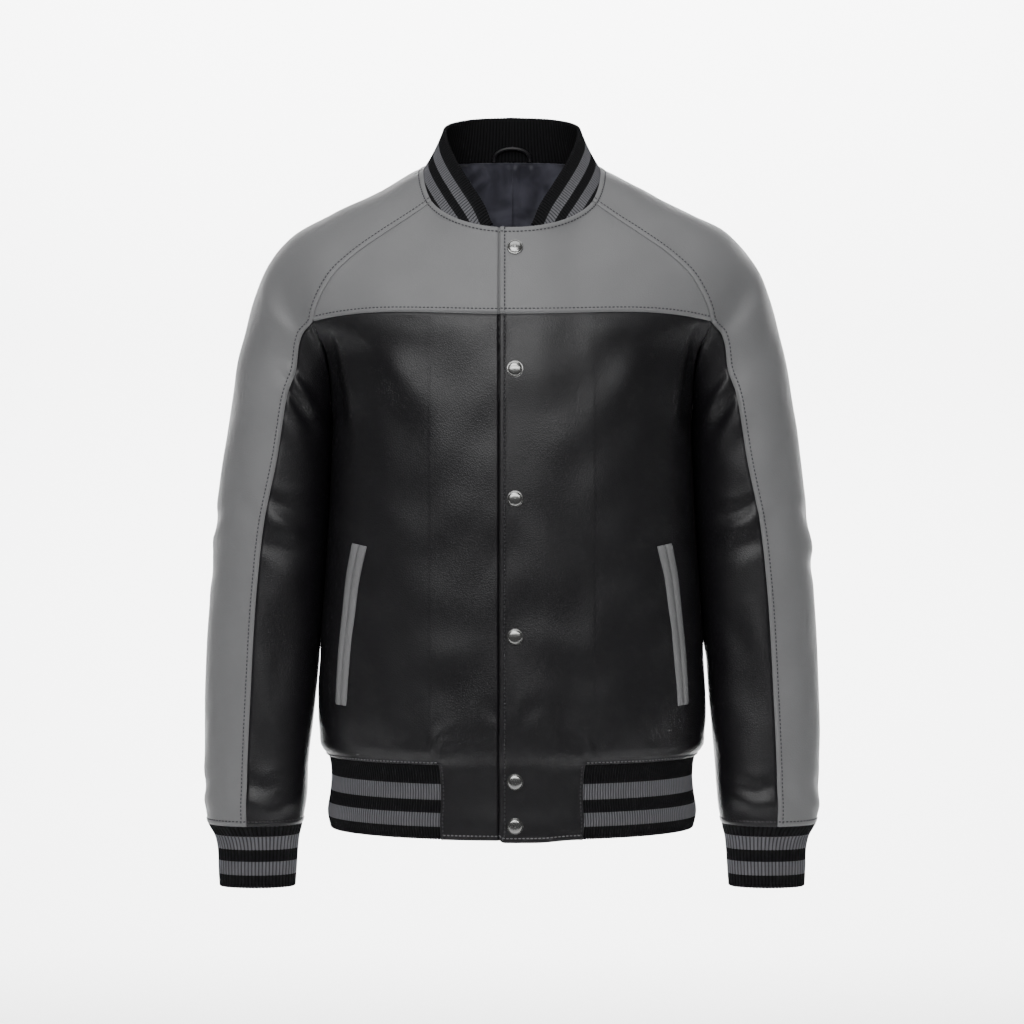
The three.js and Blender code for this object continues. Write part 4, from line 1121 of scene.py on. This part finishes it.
def make_under_sleeve(side):
    levels = np.concatenate([sleeve_levels(YOKE_LEVEL, 0), sleeve_levels(0, -1)[1:]])
    underarm = int(np.argmin(np.abs(levels)))
    parts, grids = [], []
    for front in (FRONT, BACK):
        grid = sleeve_grid(levels, front, "under", side)
        normals = outward(grid, side * front)
        lift = crease_lift(grid, normals, side, "sleeve")
        start = distances(grid, "start")
        armhole = np.where(np.arange(len(grid))[:, None] <= underarm, start, 1e3)
        down = distances(grid, "top")
        armhole = np.minimum(armhole, np.hypot(start, np.maximum(0, down - down[underarm])))
        end, bottom = distances(grid, "end"), distances(grid, "bottom")
        lift += plain_seam(armhole) + plain_seam(end) + stitched_seam(bottom, SEAM_STITCH)
        calm = smooth_step(0, 14, np.minimum.reduce([armhole, end, bottom]))
        lift += unevenness(grid) * calm
        outer = grid + normals * press(lift, grid, normals, side, "sleeve")[..., None]
        inner = inner_face(outer, normals)
        middle = slice(underarm, None), 0
        if front == BACK:
            outer[middle] = parts[0][0][middle]
            inner[middle] = parts[0][1][middle]
        stitch_line(outer, normals, "bottom", SEAM_STITCH, "black")
        parts.append((outer, inner, side * front < 0, None))
        grids.append(grid)
    name = f"sleeve_under_{SIDE_NAMES[side]}"
    width = sum(cut_size([grid])[0] for grid in grids)
    size = width, cut_size(grids)[1]
    cloth(f"cloth_{name}", parts, [BLACK, LINING], name, "black_leather", size)


# Depths in mm of the lining's gathers, its sag and its centre seam, and how far down the gathers reach
GATHER = 3.4
GATHER_REACH = 30
SAG = 6.5
LINING_SEAM = 1.2
LINING_SEAM_WIDTH = 1.8
# How far in from the side seam the lining lies flat, and the least room it keeps under the back
LINING_FLAT = 12
LINING_ROOM = 0.5


def make_lining(side):
    """The back lining, with small gathers under its neck edge."""
    levels = torso_levels(1, (HEM_SEAM_Z - UNDERARM_Z) / 1000, BACK)
    grid = along(torso_curves(levels, BACK), torso_shares(0, 1, BACK)[None, :]) * [side, 1, 1]
    normals = outward(grid, -side)
    down, out = distances(grid, "top"), distances(grid, "start")
    gather = np.sin(out / 3.1 + 1.3 * np.sin(out / 17)) * (0.4 + 0.6 * np.sin(out / 23 + side) ** 2)
    depth = GATHER * gather * smooth_step(0, 10, down) * np.exp(-down / GATHER_REACH)
    sag = SAG * np.sin(out / 13 + side * down / 21 + 2 * side) * smooth_step(2, 30, down)
    seam = LINING_SEAM * hump(out, LINING_SEAM_WIDTH)
    drop = LINING_DEPTH + np.maximum(0, depth + 0.9 * np.exp(-down / 26)) + np.maximum(0, sag) * 0.6 + seam
    drop = np.where(distances(grid, "end") < LINING_FLAT, LINING_DEPTH, drop)
    hollow = back_creases(grid, normals) + unevenness(grid) * smooth_step(0, 14, down)
    drop = drop + np.maximum(0, LINING_ROOM - hollow)
    inner = grid - normals * (drop + LINING_WALL)[..., None]
    outer = grid - normals * drop[..., None]
    name = f"lining_back_{SIDE_NAMES[side]}"
    parts = [(outer, inner, side == LEFT, None)]
    cloth(f"cloth_{name}", parts, [LINING], name, "lining", cut_size([grid]))


# Rib knit

RIB_COLUMNS = 6
RIB_RELIEF = 1.0
CUFF_HEIGHT = 66
COLLAR_HEIGHT = 47
# Distance from rib to rib
HEM_PITCH = 2.8
CUFF_PITCH = 3.5
COLLAR_PITCH = 3.4


def evenly(line, count, closed):
    line = np.concatenate([line, line[:1]]) if closed else line
    lengths = far(line)
    wanted = np.linspace(0, lengths[-1], count + 1)
    wanted = wanted[:-1] if closed else wanted
    return np.stack([np.interp(wanted, lengths, line[:, k]) for k in range(3)], -1)


def short_of_fold(rings, radius, values=None):
    """The rings, or values on them, spread anew so that each column ends one radius short of the fold."""
    heights = np.linalg.norm(np.diff(rings, axis=0), axis=-1).sum(axis=0)
    rows = len(rings) - 1
    at = np.linspace(0, rows, rows + 1)[:, None] * (1 - 1.05 * radius / heights)[None, :]
    low = np.minimum(at.astype(int), rows - 1)
    share = (at - low)[..., None]
    values = rings if values is None else values
    column = np.arange(rings.shape[1])[None, :]
    return values[low, column] * (1 - share) + values[low + 1, column] * share


def rib_band(name, ring_at, height, pitch, closed, turn, knit_material):
    """A band of rib knit, folded at one edge. ring_at(share) is a ring, from the seam (0) to the fold (1)."""
    rows = max(8, round(height / 2.5))
    shares = np.linspace(0, 1, rows + 1)
    rough = [ring_at(share) for share in shares]
    fold_length = far(np.concatenate([rough[-1], rough[-1][:1]]) if closed else rough[-1])[-1]
    ribs = round(fold_length / pitch)
    count = ribs * RIB_COLUMNS
    rings = np.stack([evenly(ring, count, closed) for ring in rough])
    around = np.roll(rings, -1, axis=1) - np.roll(rings, 1, axis=1) if closed else np.gradient(rings, axis=1)
    normals = unit(np.cross(around, np.gradient(rings, axis=0))) * turn
    phase = np.arange(rings.shape[1]) % RIB_COLUMNS / RIB_COLUMNS
    raised = np.abs(np.cos(np.pi * phase))
    ridge = RIB_RELIEF * (raised - 0.5)
    seam_fade = smooth_step(0, 5, shares * height)[:, None]
    radius = RIB_WALL / 2
    flat, flat_normals = short_of_fold(rings, radius), short_of_fold(rings, radius, normals)
    from_fold = np.linalg.norm(flat - rings[-1:], axis=-1)
    black = np.ones(rings.shape[1])
    sections = []
    for row in range(rows + 1):
        sections.append((flat[row] + flat_normals[row] * (ridge * seam_fade[row])[:, None], from_fold[row]))
    down = unit(rings[-1] - rings[-2])
    centre = rings[-1] - down * radius - normals[-1] * radius
    for turn_share in np.linspace(0.12, 0.88, 6):
        angle = math.pi * turn_share
        out = normals[-1] * math.cos(angle) + down * math.sin(angle)
        bump = radius + ridge * (0.6 + 0.4 * abs(math.cos(angle)))
        sections.append((centre + out * bump[:, None], black))
    for row in sorted({0, *range(rows, -1, -3)}, reverse=True):
        inside = flat[row] - flat_normals[row] * (RIB_WALL + (ridge * 0.7)[:, None])
        sections.append((inside, black))
    grid = np.stack([section[0] for section in sections])
    distance = np.stack([section[1] for section in sections])
    total, columns = grid.shape[:2]
    index = np.arange(total * columns).reshape(total, columns)
    ahead = np.roll(index, -1, axis=1) if closed else index
    below = np.roll(index, -1, axis=0)
    if closed:
        quads = np.stack([index, ahead, np.roll(ahead, -1, axis=0), below], -1).reshape(-1, 4)
        caps = []
    else:
        quads = np.stack([index[:, :-1], index[:, 1:], below[:, 1:], below[:, :-1]], -1).reshape(-1, 4)
        caps = [index[:, 0].tolist(), index[::-1, -1].tolist()]
    faces = quads.tolist() + caps
    if turn < 0:
        faces = [face[::-1] for face in faces]
    # The UV's x is the rib height, which the knit uses to paint shade into the grooves; its y is the distance
    # from the fold, for the stripes.
    uv = np.stack([np.tile(raised, total), distance.ravel() / STRIPE_SPAN], -1)
    made = make_object(f"cloth_{name}", grid.reshape(-1, 3), faces, [knit_material], smooth_under=70, uv=uv)
    area = fold_length * height * MM * MM
    finish_cloth(name, "rib_knit", (fold_length, height), area * 1.15 if closed else area)
    return made


def hem_ring(share):
    level = (HEM_SEAM_Z + (HEM_Z - HEM_SEAM_Z) * share - UNDERARM_Z) / 1000
    front = along(torso_curves([level], FRONT), np.linspace(TAB_EDGE, 1, 120))[0]
    back = along(torso_curves([level], BACK), np.linspace(1, 0, 120))[0]
    left = np.concatenate([front, back[1:]])
    right = left[-2::-1] * [-1, 1, 1]
    return np.concatenate([left, right])


def cuff_ring(share, side):
    row = cuff_row(share)
    halves = []
    for front in (FRONT, BACK):
        handle = row["depth"] * 4 / 3
        half = curves(
            points(row["inner_x"], CUFF_MIDDLE_Y, row["z"])[None], points(0, -front, 0)[None], handle,
            points(row["outer_x"], CUFF_MIDDLE_Y, row["z"])[None], points(0, front, 0)[None], handle,
        )
        halves.append(along(half, np.linspace(0, 1, 90))[0])
    return np.concatenate([halves[0], halves[1][-2:0:-1]]) * [side, 1, 1]


def neckline():
    """The neckline on the left, from the centre front to the centre back."""
    shares = np.linspace(0, 1, 61)
    top = [1.0]
    line = np.concatenate([
        along(torso_curves(top, FRONT), shares)[0],
        along(sleeve_curves(top, FRONT), shares)[0][1:],
        along(sleeve_curves(top, BACK), shares)[0][::-1][1:],
        along(torso_curves(top, BACK), shares)[0][::-1][1:],
    ])
    return evenly(line, 200, False)


def collar_ring(share):
    line = neckline()
    at = np.linspace(0, 1, 160)
    row = collar_row(at)
    seam = np.stack([np.interp(row["seam"], np.linspace(0, 1, len(line)), line[:, k]) for k in range(3)], -1)
    fold = points(row["x"], row["y"], row["z"])
    away = unit(points(row["x"], row["y"], 0))
    bulge = COLLAR_BULGE * 4 * share * (1 - share) * smooth_step(0, 0.3, at)
    left = seam + (fold - seam) * share + away * bulge[:, None]
    right = left[-2::-1] * [-1, 1, 1]
    return np.concatenate([left, right])


# What lies on the leather

def front_place(x, z):
    """The point of the front, and its outward direction, at a place on the wearer's left."""
    def place(x, z):
        level = [(z - UNDERARM_Z) / 1000 if z < UNDERARM_Z else level_of(z)]
        shares = np.linspace(0, 1, 600)
        line = along(torso_curves(level, FRONT), shares)[0]
        return np.array([np.interp(x, line[:, 0], line[:, k]) for k in range(3)])

    reach = 2.0
    across = place(x + reach, z) - place(max(0, x - reach), z)
    up = place(x, z + reach) - place(x, z - reach)
    return place(x, z), unit(np.cross(across, up))


def level_of(z):
    levels = np.linspace(0, 1, 500)
    return float(np.interp(z, front_row(levels)["centre_z"], levels))


def make_welt(side, strip):
    """One strip of a pocket's welt, crowned across and rounded at its ends."""
    name = f"pocket_welt_{'inner' if strip < 0 else 'outer'}_{SIDE_NAMES[side]}"
    steps, across_steps = 60, 9
    read = track(dict(POCKET_ROWS, s=far(points(POCKET_ROWS["x"], 0, POCKET_ROWS["z"]))), "s")
    total = far(points(POCKET_ROWS["x"], 0, POCKET_ROWS["z"]))[-1]
    top, base = [], []
    for s in np.linspace(0, total, steps + 1):
        place = read(s)
        ahead, behind = read(min(total, s + 1)), read(max(0, s - 1))
        middle, normal = front_place(float(place["x"]), float(place["z"]))
        way = np.array([ahead["x"] - behind["x"], 0, ahead["z"] - behind["z"]], float)
        way = unit(way - normal * (way @ normal))
        out = np.cross(normal, way) * strip
        out *= np.sign(out[0]) * strip
        end = smooth_step(0, 1.2, min(s, total - s))
        for k in range(across_steps):
            share = k / (across_steps - 1)
            width = WELT_WIDTH * (1.28 - 0.28 * s / total)
            at = middle + out * (0.2 + share * (width - 0.2))
            ground, up = front_place(float(at[0]), float(at[2]))
            crown = 1 - abs(2 * share - 1) ** 5
            groove = 0.35 * math.exp(-(((share - 0.78) / 0.07) ** 2))
            height = 0.5 + (WELT_WALL + 0.7) * crown * (0.4 + 0.6 * end) - groove
            top.append(ground + up * height)
            base.append(ground - up * 0.2)
    shape = (steps + 1, across_steps, 3)
    outer = np.array(top).reshape(shape) * [side, 1, 1]
    inner = np.array(base).reshape(shape) * [side, 1, 1]
    turned = side * strip < 0
    size = cut_size([outer])
    cloth(f"cloth_{name}", [(outer, inner, turned, None)], [GREY], name, "grey_leather", size)


def lathe(name, profile, sides, materials):
    """A turned shape about +Z, from (radius, height) points that start and end on the axis."""
    places = []
    for radius, height in profile:
        for k in range(sides):
            angle = 2 * math.pi * k / sides
            places.append((radius * math.cos(angle), radius * math.sin(angle), height))
    faces = tube_faces(len(profile), sides)
    return make_object(name, np.array(places, float), faces, materials, smooth_under=35)


def make_snap(number, z):
    """A domed cap with a rolled rim, on the left front."""
    rim = [(0.02, 0), (8.0, 0), (8.25, 0.5), (8.2, 1.1), (7.85, 1.5), (7.45, 1.55), (7.2, 1.35)]
    dome = [(7.0 * math.cos(a), 1.3 + 2.0 * math.sin(a)) for a in np.linspace(0.05, 1.5, 12)]
    snap = lathe(f"cap_snap_{number}", rim + dome + [(0.02, SNAP_HEIGHT)], 48, [METAL])
    low, high = (np.array(corner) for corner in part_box(f"snap_{number}"))
    middle = (low + high) / 2
    _, facing = front_place(SNAP_X, z)
    facing = np.array([0.0, facing[1], facing[2]])
    side_way = np.array([1.0, 0, 0])
    up = np.cross(facing, side_way)
    turn = np.stack([side_way, up, facing], axis=1)
    count = len(snap.data.vertices)
    flat = np.empty(count * 3)
    snap.data.vertices.foreach_get("co", flat)
    turned = flat.reshape(-1, 3) @ turn.T + middle - facing * SNAP_HEIGHT * 0.5 * MM
    snap.data.vertices.foreach_set("co", turned.ravel())
    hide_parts(f"snap_{number}")


def make_loop():
    """The hanging loop: a smooth cord on the CAD loop's line."""
    sides, steps = 12, 48
    turns = np.pi * np.linspace(0, 1, steps + 1)
    line = points(
        -LOOP_HALF_WIDTH * np.cos(turns), LOOP_FOOT_Y - LOOP_LEAN * np.sin(turns),
        LOOP_FOOT_Z + LOOP_HEIGHT * np.sin(turns) ** 0.8,
    )
    line[[0, -1], 2] -= 1.5
    way = unit(np.gradient(line, axis=0))
    across = unit(np.cross(way, [0.0, 1.0, 0.0]))
    third = np.cross(way, across)
    angles = np.arange(sides) * 2 * math.pi / sides
    ring = across[:, None] * np.cos(angles)[None, :, None] + third[:, None] * np.sin(angles)[None, :, None]
    places = (line[:, None] + ring * LOOP_RADIUS * 0.92).reshape(-1, 3)
    loop = make_object("cord_hanging_loop", places, tube_faces(steps + 1, sides), [BLACK])
    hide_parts("hanging_loop")


# The stage

def area_light(name, place, target, size, power):
    light = bpy.data.lights.new(name, "AREA")
    light.shape = "RECTANGLE"
    light.size, light.size_y = size
    light.energy = power
    made = bpy.data.objects.new(name, light)
    made.location = place
    direction = np.array(target) - np.array(place)
    made.rotation_mode = "QUATERNION"
    made.rotation_quaternion = Vector(direction).to_track_quat("-Z", "Y")
    bpy.context.scene.collection.objects.link(made)
    return made


def make_stage():
    """A pale floor that curves up behind the jacket, soft lights and the camera of the photo."""
    floor_z, back_y, half_width, bend = -1.15, 3.0, 6.0, 1.2
    profile = [(-1.0, floor_z), (back_y - bend, floor_z)]
    profile += [
        (back_y - bend + bend * math.sin(a), floor_z + bend - bend * math.cos(a))
        for a in np.linspace(0.1, math.pi / 2, 12)
    ]
    profile += [(back_y, 5.0)]
    places = np.array([(x, y, z) for y, z in profile for x in (-half_width, half_width)]) / MM
    faces = [[2 * i, 2 * i + 1, 2 * i + 3, 2 * i + 2] for i in range(len(profile) - 1)]
    pale, _ = material("pale_floor", (0.9, 0.9, 0.9), 0.9)
    mesh = bpy.data.meshes.new("floor")
    mesh.from_pydata((places * MM).tolist(), [], faces)
    mesh.materials.append(pale)
    mesh.shade_smooth()
    floor = bpy.data.objects.new("floor", mesh)
    bpy.context.scene.collection.objects.link(floor)

    world = bpy.data.worlds.new("studio")
    world.use_nodes = True
    world.node_tree.nodes["Background"].inputs["Color"].default_value = (1, 1, 1, 1)
    world.node_tree.nodes["Background"].inputs["Strength"].default_value = 0.14
    bpy.context.scene.world = world
    area_light("key", (-0.4, -2.2, 1.35), (0, 0, -0.3), (1.8, 0.9), 35)
    area_light("chest", (-0.1, -2.3, 0.4), (0, 0, -0.2), (2.8, 0.4), 29)
    area_light("top", (0.0, -0.5, 2.2), (0, 0, -0.3), (2.2, 1.6), 28)
    wall = area_light("wall", (0.0, 1.2, 2.2), (0, 3.0, 0.0), (5.0, 1.0), 480)
    wall.data.spread = math.radians(112)

    camera_data = bpy.data.cameras.new("camera")
    camera_data.sensor_width = 36
    camera_data.lens = 84.5
    camera = bpy.data.objects.new("camera", camera_data)
    camera.location = (0, -2.5, -0.356)
    camera.rotation_euler = (math.pi / 2, 0, 0)
    bpy.context.scene.collection.objects.link(camera)
    bpy.context.scene.camera = camera


def make_jacket():
    for side in (LEFT, RIGHT):
        make_front_yoke(side)
        make_front(side)
        for front in (FRONT, BACK):
            make_top_sleeve(front, side)
        make_under_sleeve(side)
        make_lining(side)
        for strip in (-1, 1):
            make_welt(side, strip)
        cuff = f"cuff_rib_{SIDE_NAMES[side]}"
        rib_band(cuff, lambda share: cuff_ring(share, side), CUFF_HEIGHT, CUFF_PITCH, True, -side, CUFF_KNIT)
    make_back("back_yoke", 1, YOKE_LEVEL, True)
    make_back("back", YOKE_LEVEL, (HEM_SEAM_Z - UNDERARM_Z) / 1000, False)
    rib_band("hem_rib", hem_ring, HEM_SEAM_Z - HEM_Z, HEM_PITCH, False, -1, HEM_KNIT)
    rib_band("collar_rib", collar_ring, COLLAR_HEIGHT, COLLAR_PITCH, False, 1, COLLAR_KNIT)
    for number, z in enumerate(SNAP_Z, 1):
        make_snap(number, z)
    make_loop()
    make_stitches("grey", GREY_PAINTED_SHADE_THREAD)
    make_stitches("black", BLACK_THREAD)
    make_stitches("hem", HEM_THREAD)


make_stage()
make_jacket()
